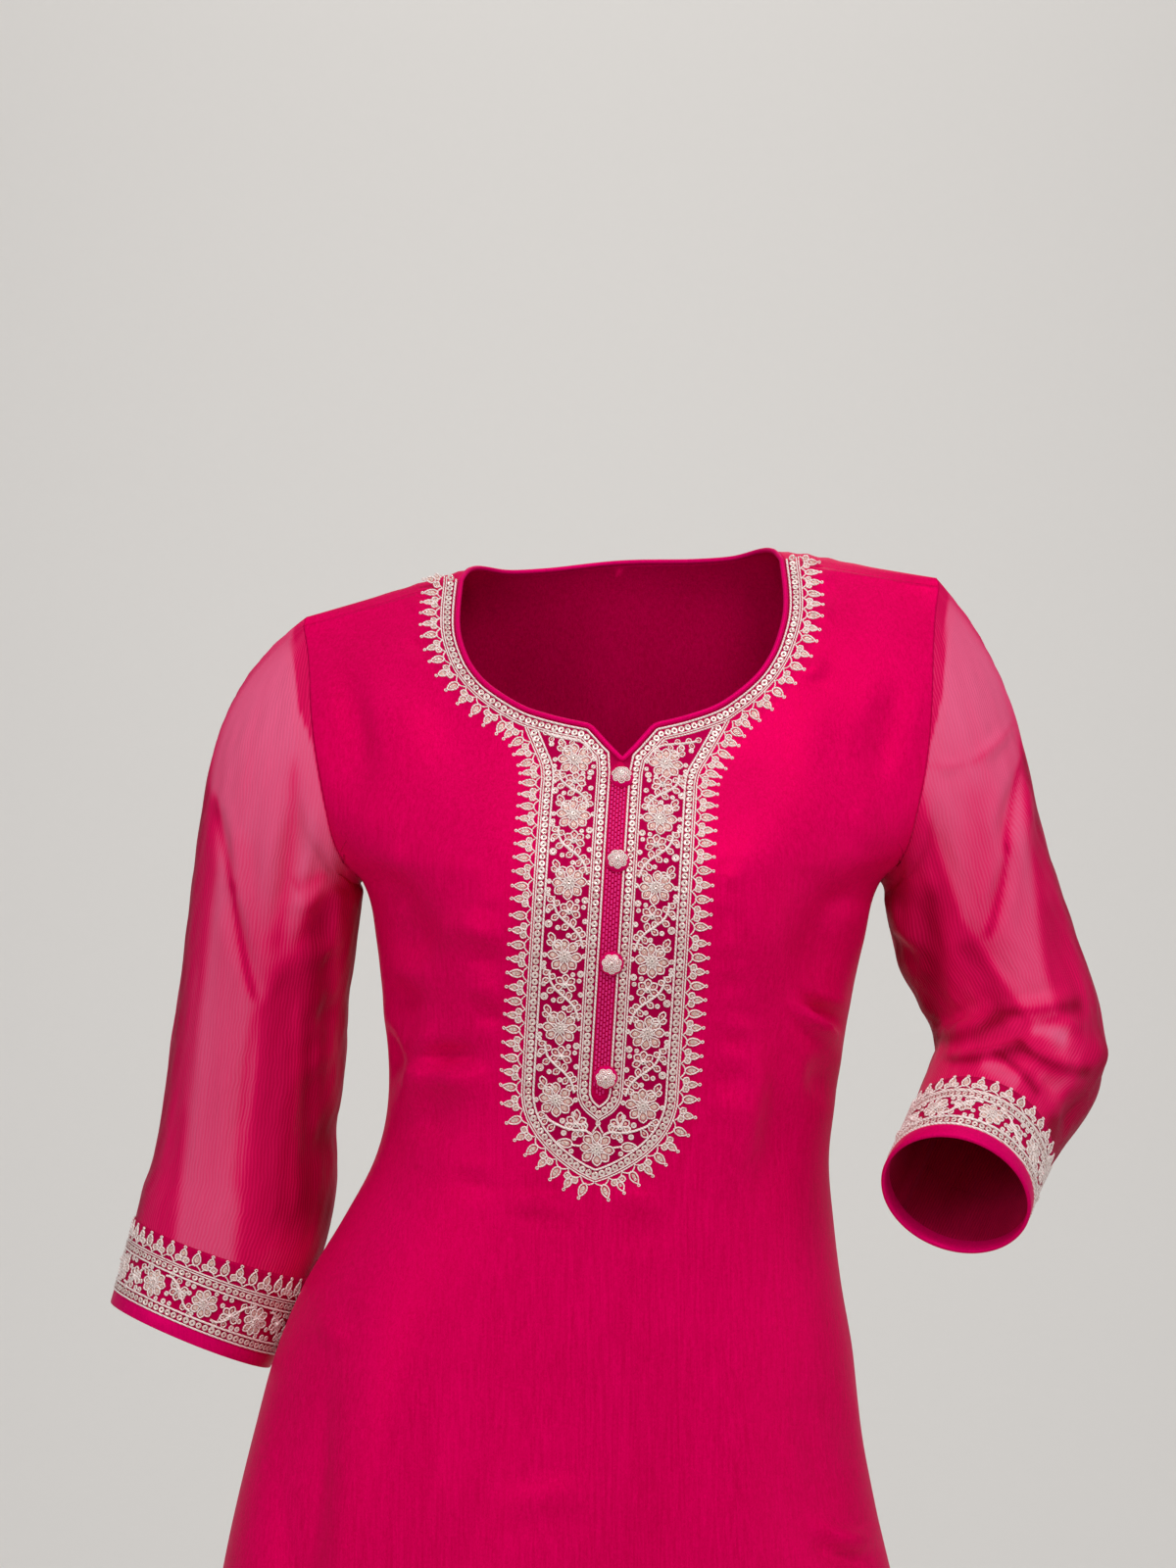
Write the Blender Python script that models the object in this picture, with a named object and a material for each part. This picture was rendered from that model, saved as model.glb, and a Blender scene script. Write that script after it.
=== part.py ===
"""Salwar kameez suit as it is worn: a kameez with sheer three-quarter sleeves, over a salwar.

The garment faces -Y and hangs down -Z. The origin lies midway between the side neck points.
Left and right are the wearer's, so the right sleeve is on -X. Tables are in millimetres, and
the solids are made in metres.
"""

import math

import bpy
from mathutils import Vector

MM = 0.001

# Cloth and sewing
CLOTH = 1.0  # wall of the body cloth and of the sheer sleeves
SEAM = 0.7  # how far apart the edges of two sewn pieces lie
LAY = 0.4  # air under a piece that lies on a panel
FACING_LAY = 0.8  # air between a sleeve and the armhole facing inside it
PIPING_RADIUS = 1.6
PIPING_SIDES = 6
HEM_BAND = 12.0  # folded band at the end of a sleeve
CUFF_PANEL = 47.0  # embroidered band above it
FACING_SHARE = 0.85  # of the sleeve's first row that the armhole facing covers
KAMEEZ_LENGTH = 1100.0
SLIT_TOP = -620.0

# Shoulders: how the rows slope away from the neck, and how the worn garment tilts
SHOULDER_SLOPE = 0.24
SLOPE_ENDS = -120.0
NECK_ROUNDING = 30.0
SIDE_NECK = 104.4
STANCE_TILT = 0.062
STANCE_ENDS = -120.0
STANCE_FADE = 100.0

# Bust fullness, as a soft rise on each side of the front
BUST_RISE = 9.0
BUST_X, BUST_LEVEL = 80.0, -196.0
BUST_WIDE, BUST_HIGH = 48.0, 55.0

# The torso form. seam is where the side lies in depth, square below 1 makes a flatter front.
FORM_COLUMNS = ("level", "left", "right", "centre", "seam")
FORM = (
    (30, 200, 200, 0, -8),
    (0, 200, 200, 0, -8),
    (-15, 212, 212, 0, -5),
    (-40, 222, 222, 0, -2),
    (-75, 224, 224, 0, 0),
    (-110, 217, 217, 0, 2),
    (-150, 200, 200, -1, 4),
    (-175, 181, 181, -2, 4),
    (-192, 160, 160, -4, 4),
    (-230, 151, 149, -6, 3),
    (-280, 146, 139, -9, 1),
    (-326, 144, 132, -11, 0),
    (-362, 152, 128, -14, 1),
    (-400, 172, 131, -18, 3),
    (-440, 196, 136, -23, 6),
    (-480, 213, 143, -28, 8),
    (-527, 226, 148, -33, 9),
    (-580, 239, 158, -38, 9),
    (-620, 247, 167, -40, 9),
    (-760, 268, 190, -40, 8),
    (-920, 285, 206, -40, 6),
    (-1100, 298, 218, -40, 4),
)
FRONT_COLUMNS = ("level", "depth", "square")
FRONT = (
    (0, -8, 1.0),
    (-15, -25, 0.9),
    (-40, -47, 0.85),
    (-75, -67, 0.8),
    (-115, -85, 0.8),
    (-150, -107, 0.8),
    (-185, -122, 0.8),
    (-215, -127, 0.8),
    (-245, -126, 0.8),
    (-285, -119, 0.8),
    (-326, -113, 0.8),
    (-362, -110, 0.8),
    (-400, -109, 0.8),
    (-480, -111, 0.8),
    (-580, -114, 0.8),
    (-760, -119, 0.75),
    (-920, -124, 0.7),
    (-1100, -130, 0.7),
)
BACK_COLUMNS = ("level", "depth", "square", "height")
BACK = (
    (30, -8, 1.0, 0),
    (20, 5, 1.0, 5),
    (8, 21, 1.0, 4),
    (-5, 36, 0.95, -5),
    (-30, 57, 0.9, -30),
    (-75, 79, 0.85, -75),
    (-115, 91, 0.8, -115),
    (-150, 96, 0.8, -150),
    (-192, 94, 0.8, -192),
    (-240, 85, 0.8, -240),
    (-285, 74, 0.8, -285),
    (-326, 67, 0.8, -326),
    (-362, 69, 0.8, -362),
    (-400, 79, 0.8, -400),
    (-440, 93, 0.8, -440),
    (-480, 104, 0.8, -480),
    (-580, 116, 0.8, -580),
    (-760, 122, 0.75, -760),
    (-920, 127, 0.7, -920),
    (-1100, 133, 0.7, -1100),
)

# Where each row of a panel starts and ends: the neckline or centre line, then the armhole.
ROW_COLUMNS = ("inner_x", "inner_level", "outer_x", "outer_level")
FRONT_ROWS = (
    (100, 0, 196, 0),
    (101.5, -19, 193, -20),
    (101, -33, 191, -44),
    (97.8, -46, 190, -66),
    (92, -59.5, 188.5, -88),
    (81, -73.3, 186.5, -108),
    (61, -87.3, 183.5, -128),
    (40, -94.6, 180, -147),
    (20, -99, 175.5, -166),
    (9.8, -109.5, 168.5, -182),
    (0, -119, 160, -192),
)
BACK_ROWS = (
    (100, 30, 196, 30),
    (95, 19, 194.5, 17),
    (87, 8, 193, -4),
    (72, -2, 191.5, -32),
    (48, -8, 190, -62),
    (24, -11, 188, -92),
    (0, -12, 185.5, -118),
    (0, -50, 181, -143),
    (0, -88, 176, -166),
    (0, -122, 168.5, -182),
    (0, -152, 160, -192),
)
# Levels of the rows below the underarm, at the centre line and at the side seam.
FRONT_CENTRE_LEVELS = (-152, -188, -226, -266, -306, -346)
BACK_CENTRE_LEVELS = (-182, -210, -240, -272, -308, -346)
SIDE_LEVELS = (-206, -224, -248, -277, -310, -347)
LOWER_LEVELS = (-390, -435, -490, -560, -620, -700, -800, -900, -1000, -1100)
HALF_COLUMNS = 6

# Hem flutes: where each crest lies across the panel (-1 to 1), its width and its rise at the hem
FLUTE_COLUMNS = ("across", "wide", "rise")
FRONT_FLUTES = ((-0.62, 0.34, 17), (0.05, 0.34, -12), (0.64, 0.34, 18))
BACK_FLUTES = ((-0.58, 0.32, 16), (0.0, 0.32, 14), (0.58, 0.32, 15))
FLUTES_START = -560.0
SLIT_SPREAD = 14.0  # how far each panel's edge moves from the other at the hem

# Sleeves: the axis of the arm's tube and the two half widths of its rings
ARM_COLUMNS = ("x", "y", "z", "wide", "deep")
ARMS = {
    "right": (
        (-212.5, 8, -193, 53, 50),
        (-217.5, 16, -229, 53, 50),
        (-223, 25, -266, 53, 50),
        (-227, 33, -302, 55, 51),
        (-232.5, 41, -338, 55, 52),
        (-236, 47, -374, 58, 54),
        (-243, 50, -404, 60, 55),
        (-254, 51, -438, 58, 53),
        (-270.5, 50, -478, 53, 49),
    ),
    "left": (
        (215, 6, -193, 53, 51),
        (224, 9, -226, 55, 52),
        (236, 9, -253, 52, 52),
        (245, 3, -280, 52, 51),
        (244, -11, -307, 52, 50),
        (230, -34, -328, 48, 47),
        (217, -61, -347, 45, 45),
        (207.5, -84, -362, 44, 44),
        (198.6, -106, -377, 45, 43),
    ),
}
ARM_ROWS = 6  # rings along the arm between the underarm and the embroidered band
CAP_ROWS = 4  # rings between the armhole and the underarm
CAP_GAP = 2.0  # how far the cap starts from the edge of the armhole
CAP_LIFT = 0.42  # share of its length that a cap line keeps to the shoulder's slope
CAP_DIRECTION = {"right": Vector((-0.8, 0.0, -0.6)), "left": Vector((0.66, 0.0, -0.75))}
SIDES = {"right": -1, "left": 1}

# Yoke outline in the front view, from the shoulder down to its tip, measured from the centre line
YOKE_EDGE = (
    (122, 14),
    (122, -12),
    (121.5, -30),
    (118, -45),
    (112.5, -59),
    (104, -72),
    (93, -83.5),
    (78, -95.5),
    (67.5, -106),
    (62, -120),
    (61, -150),
    (61, -318),
    (57, -338),
    (47.5, -356.5),
    (33.5, -370),
    (15.5, -379.5),
    (0, -383),
)
PLACKET_TOP = -121.5
PLACKET_FOOT = -330.0
PLACKET_POINT = 9.0
PLACKET_HALF = 5.7
PLACKET_GAP = 0.6
OUTWARD = Vector((0.0, -0.8, 0.6))  # the way the yoke is moved off the front
YOKE_LIFT = 0.5
YOKE_WALL = 1.5
BUTTON_LEVELS = (-130.5, -179, -238, -306)
BUTTON_RADIUS = 7.3
BUTTON_HEIGHT = 6.0
BUTTON_LIFT = 0.6
BUTTON_SIDES = 10
BUTTON_RINGS = 3

# Salwar
WAIST_TOP, WAIST_FOOT = -390.0, -435.0
WAIST_WALL = 2.5
WAIST_INSET = 0.5  # air between the waistband and the kameez over it
BELT_INSET = 3.0
BELT_FOOT = -560.0
ANKLE = -1400.0
PONCHA = 55.0  # stiff band at the ankle
LEG_CENTRE = -40.0
LEG_GAP = 2.4  # between the two legs above the crotch
LEG_ROUND = 16  # columns right round a leg
LEG_PLEATS = 4
# A leg's section at each level: a rounded ring, cut off where it meets the other leg
LEG_COLUMNS = ("level", "centre", "half", "front", "back", "pleat")
LEG = (
    (-560, 0, 173, -102, 101, 0),
    (-600, 22, 152, -102, 102, 2),
    (-640, 50, 127, -101, 101, 4),
    (-680, 76, 104, -99, 98, 6),
    (-720, 91, 93, -98, 96, 7),
    (-760, 98, 92, -98, 96, 8),
    (-820, 102, 93, -97, 97, 9),
    (-900, 105, 90, -94, 96, 9),
    (-1000, 106, 86, -88, 92, 8),
    (-1100, 106, 80, -80, 87, 7),
    (-1200, 106, 73, -71, 81, 6),
    (-1300, 105.5, 66, -61, 74, 4),
    (-1345, 105, 60, -53, 65, 1),
    (-1400, 105, 58, -51, 63, 0),
)
LEG_LEVELS = (-610, -650, -690, -720, -760, -830, -910, -1000, -1100, -1200, -1290)

MATERIALS = {
    # name: (colour, roughness, alpha)
    "crepe": ((0.60, 0.0, 0.075), 0.45, 1.0),
    "sheer": ((0.62, 0.01, 0.10), 0.6, 0.7),
    "embroidered": ((0.72, 0.45, 0.42), 0.45, 1.0),
    "piping": ((0.68, 0.0, 0.11), 0.35, 1.0),
    "buttons": ((0.75, 0.5, 0.47), 0.4, 1.0),
    "salwar_crepe": ((0.56, 0.0, 0.07), 0.5, 1.0),
}


# ---------------------------------------------------------------- numbers


def smooth(share):
    """0 to 1 with level ends."""
    share = min(1.0, max(0.0, share))
    return share * share * (3 - 2 * share)


def bell(distance):
    """A soft hump, 1 at the middle and 0 at a distance of 1."""
    return math.cos(min(1.0, abs(distance)) * math.pi / 2) ** 2


def read(table, columns, at):
    """A row of a table at any level, on a smooth curve through its rows."""
    levels = [row[0] for row in table]
    at = min(levels[0], max(levels[-1], at))
    i = 0
    while i < len(levels) - 2 and at < levels[i + 1]:
        i += 1
    span = levels[i + 1] - levels[i]
    t = (at - levels[i]) / span

    def slope(k, column):
        """Rise per unit of level at row k, from its neighbours."""
        low, high = max(0, k - 1), min(len(table) - 1, k + 1)
        return (table[high][column] - table[low][column]) / (levels[high] - levels[low])

    values = [at]
    for column in range(1, len(columns)):
        a, b = table[i][column], table[i + 1][column]
        m0, m1 = slope(i, column) * span, slope(i + 1, column) * span
        values.append(
            a * (2 * t**3 - 3 * t**2 + 1)
            + m0 * (t**3 - 2 * t**2 + t)
            + b * (3 * t**2 - 2 * t**3)
            + m1 * (t**3 - t**2)
        )
    return dict(zip(columns, values))


# ---------------------------------------------------------------- torso form


def stance(x, z):
    """Height of a point once the shoulders tilt as they are worn."""
    return z + STANCE_TILT * x * smooth((z - STANCE_ENDS) / STANCE_FADE)


def shoulder_drop(x, level):
    """How far a row lies below its own level at x, because the shoulders slope."""
    slope = SHOULDER_SLOPE * smooth((level - SLOPE_ENDS) / -SLOPE_ENDS)
    return slope * (math.hypot(x, NECK_ROUNDING) - SIDE_NECK)


def half_width(form, side):
    return form["right"] - form["centre"] if side > 0 else form["left"] + form["centre"]


def around(x, level):
    """The sine of the angle at which x lies on the section at this level."""
    form = read(FORM, FORM_COLUMNS, level)
    side = 1 if x >= form["centre"] else -1
    return (x - form["centre"]) / half_width(form, side)


def flute_rise(flutes, sine, level):
    """How far the hem's folds push a panel out."""
    grown = smooth((FLUTES_START - level) / (KAMEEZ_LENGTH + FLUTES_START))
    return grown * sum(rise * bell((sine - at) / wide) for at, wide, rise in flutes)


def torso(level, sine, panel):
    """A point of the front (-1) or back (1) panel's outer face."""
    form = read(FORM, FORM_COLUMNS, level)
    sine = min(1.0, max(-1.0, sine))
    x = form["centre"] + half_width(form, sine) * sine
    cosine = math.sqrt(max(0.0, 1 - sine * sine))
    if panel < 0:
        row = read(FRONT, FRONT_COLUMNS, level)
        height = level
        bust = bell((level - BUST_LEVEL) / BUST_HIGH / 1.6) * BUST_RISE
        depth = row["depth"] - flute_rise(FRONT_FLUTES, sine, level)
        bulge = -bust * bell((abs(x) - BUST_X) / BUST_WIDE / 1.5)
    else:
        row = read(BACK, BACK_COLUMNS, level)
        height = row["height"]
        depth = row["depth"] + flute_rise(BACK_FLUTES, sine, level)
        bulge = 0.0
    slit = smooth((SLIT_TOP - level) / (KAMEEZ_LENGTH + SLIT_TOP))
    y = form["seam"] + (depth - form["seam"]) * cosine ** row["square"]
    y += bulge * cosine + panel * (SEAM / 2 + slit * SLIT_SPREAD)
    return Vector((x, y, stance(x, height - shoulder_drop(x, level))))


def panel_rows(panel):
    """The ends of each row of a panel, as (inner sine, inner level, outer sine, outer level)."""
    table = FRONT_ROWS if panel < 0 else BACK_ROWS
    centre_levels = FRONT_CENTRE_LEVELS if panel < 0 else BACK_CENTRE_LEVELS
    rows = [(x0, l0, x1, l1) for x0, l0, x1, l1 in table]
    pairs = list(zip(centre_levels, SIDE_LEVELS)) + [(low, low) for low in LOWER_LEVELS]
    return rows, pairs


def half_panel(panel, side):
    """Rows of one half of a panel, each from the neckline or centre line to the outer edge."""
    rows, pairs = panel_rows(panel)
    spans = []
    for inner_x, inner_level, outer_x, outer_level in rows:
        start = around(side * inner_x, inner_level) if inner_x > 0 else 0.0
        last = (outer_x, outer_level) == rows[-1][2:]
        end = side if last else around(side * outer_x, outer_level)
        spans.append((start, inner_level, end, outer_level))
    spans += [(0.0, inner_level, side, outer_level) for inner_level, outer_level in pairs]
    grid = []
    for start, low, end, high in spans:
        first, last = math.asin(start), math.asin(max(-1.0, min(1.0, end)))
        steps = [k / HALF_COLUMNS for k in range(HALF_COLUMNS + 1)]
        grid.append(
            [torso(low + (high - low) * t, math.sin(first + (last - first) * t), panel) for t in steps]
        )
    return grid


# ---------------------------------------------------------------- solids


def material(name):
    """A Principled BSDF with a cloth's colour, made once."""
    made = bpy.data.materials.get(name)
    if made:
        return made
    colour, roughness, alpha = MATERIALS[name]
    made = bpy.data.materials.new(name)
    made.use_nodes = True
    shader = made.node_tree.nodes["Principled BSDF"]
    shader.inputs["Base Color"].default_value = (*colour, 1.0)
    shader.inputs["Roughness"].default_value = roughness
    shader.inputs["Metallic"].default_value = 0.0
    shader.inputs["Alpha"].default_value = alpha
    return made


def add_object(name, points, faces, finish):
    """An object from points in millimetres."""
    mesh = bpy.data.meshes.new(name)
    mesh.from_pydata([Vector(p) * MM for p in points], [], faces)
    mesh.materials.append(material(finish))
    mesh.update()
    mesh.shade_smooth()
    mesh.set_sharp_from_angle(angle=math.radians(50))
    made = bpy.data.objects.new(name, mesh)
    bpy.context.scene.collection.objects.link(made)
    return made


class Sheet:
    """Points and triangles of one face of a cloth, welded where points coincide."""

    def __init__(self):
        self.points = []
        self.faces = []
        self.known = {}

    def index(self, point):
        key = tuple(round(value, 2) for value in point)
        if key not in self.known:
            self.known[key] = len(self.points)
            self.points.append(Vector(point))
        return self.known[key]

    def quad(self, a, b, c, d):
        """Two triangles, always split along the same diagonal."""
        corners = [self.index(p) for p in (a, b, c, d)]
        for triangle in ((0, 1, 2), (0, 2, 3)):
            face = [corners[k] for k in triangle]
            if len(set(face)) == 3:
                self.faces.append(face)

    def grid(self, rows, flip=False, closed=False):
        """Quads between rows of points. closed joins each row's end to its start."""
        for upper, lower in zip(rows, rows[1:]):
            count = len(upper) if closed else len(upper) - 1
            for k in range(count):
                n = (k + 1) % len(upper)
                corners = (upper[k], lower[k], lower[n], upper[n])
                self.quad(*(reversed(corners) if flip else corners))
        return self

    def normals(self):
        sums = [Vector() for _ in self.points]
        for a, b, c in self.faces:
            pa, pb, pc = self.points[a], self.points[b], self.points[c]
            normal = (pb - pa).cross(pc - pa)
            for k in (a, b, c):
                sums[k] += normal
        return [s.normalized() for s in sums]

    def rim(self):
        """Directed edges that only one triangle uses."""
        edges = {}
        for face in self.faces:
            for k in range(3):
                edges[(face[k], face[(k + 1) % 3])] = True
        return [(a, b) for a, b in edges if (b, a) not in edges]


def outward_faces(sheet):
    """The triangles of a closed sheet, turned so that they enclose a positive volume."""
    points = sheet.points
    volume = sum(points[a].dot(points[b].cross(points[c])) for a, b, c in sheet.faces)
    return [tuple(f) if volume > 0 else tuple(reversed(f)) for f in sheet.faces]


def shell(name, sheet, finish, outer=0.0, inner=-CLOTH, normals=None):
    """A solid wall between two offsets of a sheet along its normals."""
    normals = normals or sheet.normals()
    count = len(sheet.points)
    points = [p + n * outer for p, n in zip(sheet.points, normals)]
    points += [p + n * inner for p, n in zip(sheet.points, normals)]
    faces = [tuple(face) for face in sheet.faces]
    faces += [(a + count, c + count, b + count) for a, b, c in sheet.faces]
    for a, b in sheet.rim():
        faces += [(b, a, a + count), (b, a + count, b + count)]
    return add_object(name, points, faces, finish)


# ---------------------------------------------------------------- kameez body


def body_sheets():
    """The front and back sheets, and normals that the two share along their seams."""
    sheets, grids = {}, {}
    for panel in (-1, 1):
        sheet = Sheet()
        for side in (-1, 1):
            grids[panel, side] = half_panel(panel, side)
            sheet.grid(grids[panel, side], flip=panel * side > 0)
        sheets[panel] = sheet
    own = {panel: sheets[panel].normals() for panel in sheets}

    def seam_key(point, panel):
        """The same for two points that face each other across a seam."""
        slit = smooth((SLIT_TOP - point.z) / (KAMEEZ_LENGTH + SLIT_TOP)) * SLIT_SPREAD
        return tuple(round(v) for v in (point.x, point.y - panel * (SEAM / 2 + slit), point.z))

    shared = {}
    for panel, sheet in sheets.items():
        for point, normal in zip(sheet.points, own[panel]):
            key = seam_key(point, panel)
            shared[key] = shared.get(key, Vector()) + normal
    normals = {
        panel: [shared[seam_key(p, panel)].normalized() for p in sheet.points]
        for panel, sheet in sheets.items()
    }
    return sheets, normals, grids


def neck_loop(grids):
    """Points round the neckline with the way out of the cloth at each, in order."""
    front = len(FRONT_ROWS)
    back = BACK_ROWS.index(next(row for row in BACK_ROWS if row[0] == 0)) + 1
    order = [(-1, 1, i) for i in range(front)]
    order += [(-1, -1, i) for i in reversed(range(front - 1))]
    order += [(1, -1, i) for i in range(1, back)]
    order += [(1, 1, i) for i in reversed(range(1, back - 1))]
    loop = []
    for panel, side, i in order:
        row = grids[panel, side][i]
        loop.append((row[0], (row[0] - row[1]).normalized()))
    return loop


def build_piping(grids):
    """A round cord sewn along the whole neckline."""
    loop = neck_loop(grids)
    rings = []
    for k, (point, away) in enumerate(loop):
        tangent = (loop[(k + 1) % len(loop)][0] - loop[k - 1][0]).normalized()
        away = (away - tangent * away.dot(tangent)).normalized()
        if abs(point.x) < 1 and point.y < 0:
            away = Vector((0, 0, 1))  # the foot of the notch opens straight up
        up = tangent.cross(away).normalized()
        if up.y > 0 and point.y < 0 or up.y < 0 and point.y > 30:
            up = -up
        centre = point + away * (PIPING_RADIUS + SEAM) - up * (CLOTH / 2)
        rings.append(
            [
                centre
                + away * math.cos(math.tau * s / PIPING_SIDES) * PIPING_RADIUS
                + up * math.sin(math.tau * s / PIPING_SIDES) * PIPING_RADIUS
                for s in range(PIPING_SIDES)
            ]
        )
    sheet = Sheet().grid(rings + rings[:1], closed=True)
    add_object("neck_piping", sheet.points, outward_faces(sheet), "piping")


def prism(name, outline):
    """A cutter: an outline in the front view, drawn through the garment's front."""
    near, far = -250.0, 40.0
    count = len(outline)
    turns = zip(outline, outline[1:] + outline[:1])
    if sum(a[0] * b[1] - b[0] * a[1] for a, b in turns) < 0:
        outline = outline[::-1]
    points = [(x, near, z) for x, z in outline] + [(x, far, z) for x, z in outline]
    following = [(k, (k + 1) % count) for k in range(count)]
    faces = [tuple(range(count)), tuple(reversed(range(count, 2 * count)))]
    faces += [(n, k, k + count, n + count) for k, n in following]
    cutter = add_object(name, points, faces, "crepe")
    cutter.hide_render = True
    cutter.display_type = "WIRE"
    return cutter


def centre_at(level):
    return read(FORM, FORM_COLUMNS, level)["centre"]


def leaning(outline):
    """An outline measured from the centre line, set where that line lies."""
    return [(x + centre_at(z), stance(x, z)) for x, z in outline]


def placket_outline(grow):
    top, foot = PLACKET_TOP + grow, PLACKET_FOOT - grow
    half = PLACKET_HALF + grow
    return leaning(
        [(-half, top), (-half, foot + PLACKET_POINT), (0, foot), (half, foot + PLACKET_POINT), (half, top)]
    )


def yoke_outline():
    """The yoke's outer edge, closed above the shoulders; the neckline itself bounds it inside."""
    right = [(x, z) for x, z in YOKE_EDGE]
    left = [(-x, z) for x, z in reversed(YOKE_EDGE[:-1])]
    return leaning(right + left)


def cut(target, cutter, operation):
    modifier = target.modifiers.new(operation.lower(), "BOOLEAN")
    modifier.operation = operation
    modifier.object = cutter
    modifier.solver = "EXACT"


def front_slab(name, sheet):
    """A copy of the front's outer face, moved off it and given its own wall."""
    count = len(sheet.points)
    points = [p + OUTWARD * (YOKE_LIFT + YOKE_WALL) for p in sheet.points]
    points += [p + OUTWARD * YOKE_LIFT for p in sheet.points]
    faces = [tuple(face) for face in sheet.faces]
    faces += [(a + count, c + count, b + count) for a, b, c in sheet.faces]
    for a, b in sheet.rim():
        faces += [(b, a, a + count), (b, a + count, b + count)]
    return add_object(name, points, faces, "embroidered")


def build_yoke(sheet):
    yoke = front_slab("yoke_panel", sheet)
    cut(yoke, prism("cutter_yoke", yoke_outline()), "INTERSECT")
    cut(yoke, prism("cutter_slot", placket_outline(PLACKET_GAP)), "DIFFERENCE")
    placket = front_slab("placket", sheet)
    cut(placket, prism("cutter_placket", placket_outline(0.0)), "INTERSECT")
    placket.data.materials[0] = material("piping")


def centre_facet(level):
    """The point at a level on the straight lines between the front's rows, down its middle, and
    the direction of that line."""
    rows = (FRONT_ROWS[-1][1], *FRONT_CENTRE_LEVELS)
    upper = max(k for k in range(len(rows) - 1) if rows[k] >= level)
    top, foot = torso(rows[upper], 0.0, -1), torso(rows[upper + 1], 0.0, -1)
    return top.lerp(foot, (level - top.z) / (foot.z - top.z)), top - foot


def build_buttons():
    """Cloth-covered domes down the placket."""
    for number, level in enumerate(BUTTON_LEVELS, 1):
        here, slope = centre_facet(level)
        out = Vector((1, 0, 0)).cross(slope).normalized()
        if out.y > 0:
            out = -out
        across = Vector((1, 0, 0))
        along = out.cross(across)
        lift = (YOKE_LIFT + YOKE_WALL) * OUTWARD.dot(out) + BUTTON_LIFT
        rings = []
        for ring in range(BUTTON_RINGS + 1):
            angle = math.pi / 2 * ring / (BUTTON_RINGS + 0.6)
            radius = BUTTON_RADIUS * math.cos(angle)
            height = BUTTON_HEIGHT * math.sin(angle)
            rings.append(
                [
                    here
                    + out * (lift + height)
                    + across * radius * math.cos(math.tau * k / BUTTON_SIDES)
                    + along * radius * math.sin(math.tau * k / BUTTON_SIDES)
                    for k in range(BUTTON_SIDES)
                ]
            )
        sheet = Sheet().grid(rings, closed=True)
        for ring, turn in ((rings[0], 1), (rings[-1], -1)):
            face = [sheet.index(p) for p in ring][::turn]
            sheet.faces += [[face[0], face[k], face[k + 1]] for k in range(1, BUTTON_SIDES - 1)]
        middle = sum(sheet.points, Vector()) / len(sheet.points)
        faces = []
        for a, b, c in sheet.faces:
            pa, pb, pc = sheet.points[a], sheet.points[b], sheet.points[c]
            outward = (pb - pa).cross(pc - pa).dot((pa + pb + pc) / 3 - middle) > 0
            faces.append((a, b, c) if outward else (a, c, b))
        add_object(f"button_{number}", sheet.points, faces, "buttons")


# ---------------------------------------------------------------- sleeves


def armhole_loop(grids, arm):
    """Armhole points from the shoulder round the front, the underarm and the back."""
    side = SIDES[arm]
    front = [grids[-1, side][i][-1] for i in range(len(FRONT_ROWS))]
    back = [grids[1, side][i][-1] for i in range(len(BACK_ROWS))]
    top = (front[0] + back[0]) / 2
    under = (front[-1] + back[-1]) / 2
    return [top, *front[1:-1], under, *reversed(back[1:-1])]


def arm_frames(arm):
    """Centre, outward and forward directions and half widths of each row of the arm's table."""
    rows = ARMS[arm]
    centres = [Vector(row[:3]) for row in rows]
    outward, frames = Vector((SIDES[arm], 0, 0)), []
    for k, row in enumerate(rows):
        before, after = centres[max(0, k - 1)], centres[min(len(rows) - 1, k + 1)]
        axis = (after - before).normalized()
        outward = (outward - axis * outward.dot(axis)).normalized()
        forward = axis.cross(outward)
        if forward.y > 0:
            forward = -forward
        frames.append((centres[k], outward.copy(), forward, row[3], row[4]))
    return frames


def arm_lengths(frames):
    lengths = [0.0]
    for a, b in zip(frames, frames[1:]):
        lengths.append(lengths[-1] + (b[0] - a[0]).length)
    return lengths


def between(values, k, t):
    """Catmull-Rom blend of a list of vectors or numbers."""
    p0, p1 = values[max(0, k - 1)], values[k]
    p2, p3 = values[k + 1], values[min(len(values) - 1, k + 2)]
    return (
        p1 * 2
        + (p2 - p0) * t
        + (p0 * 2 - p1 * 5 + p2 * 4 - p3) * (t * t)
        + (p1 * 3 - p0 - p2 * 3 + p3) * (t * t * t)
    ) * 0.5


def arm_ring(arm, frames, lengths, along, count):
    """The ring of the sleeve at a distance along the arm's axis."""
    along = min(lengths[-1], max(0.0, along))
    k = 0
    while k < len(lengths) - 2 and along > lengths[k + 1]:
        k += 1
    t = (along - lengths[k]) / (lengths[k + 1] - lengths[k])
    centre = between([f[0] for f in frames], k, t)
    outward = between([f[1] for f in frames], k, t).normalized()
    forward = between([f[2] for f in frames], k, t).normalized()
    wide, deep = between([f[3] for f in frames], k, t), between([f[4] for f in frames], k, t)
    del arm
    return [
        centre
        + outward * wide * math.cos(math.tau * j / count)
        + forward * deep * math.sin(math.tau * j / count)
        for j in range(count)
    ]


def bezier(a, b, c, d, t):
    s = 1 - t
    return a * s**3 + b * (3 * s * s * t) + c * (3 * s * t * t) + d * t**3


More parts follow.
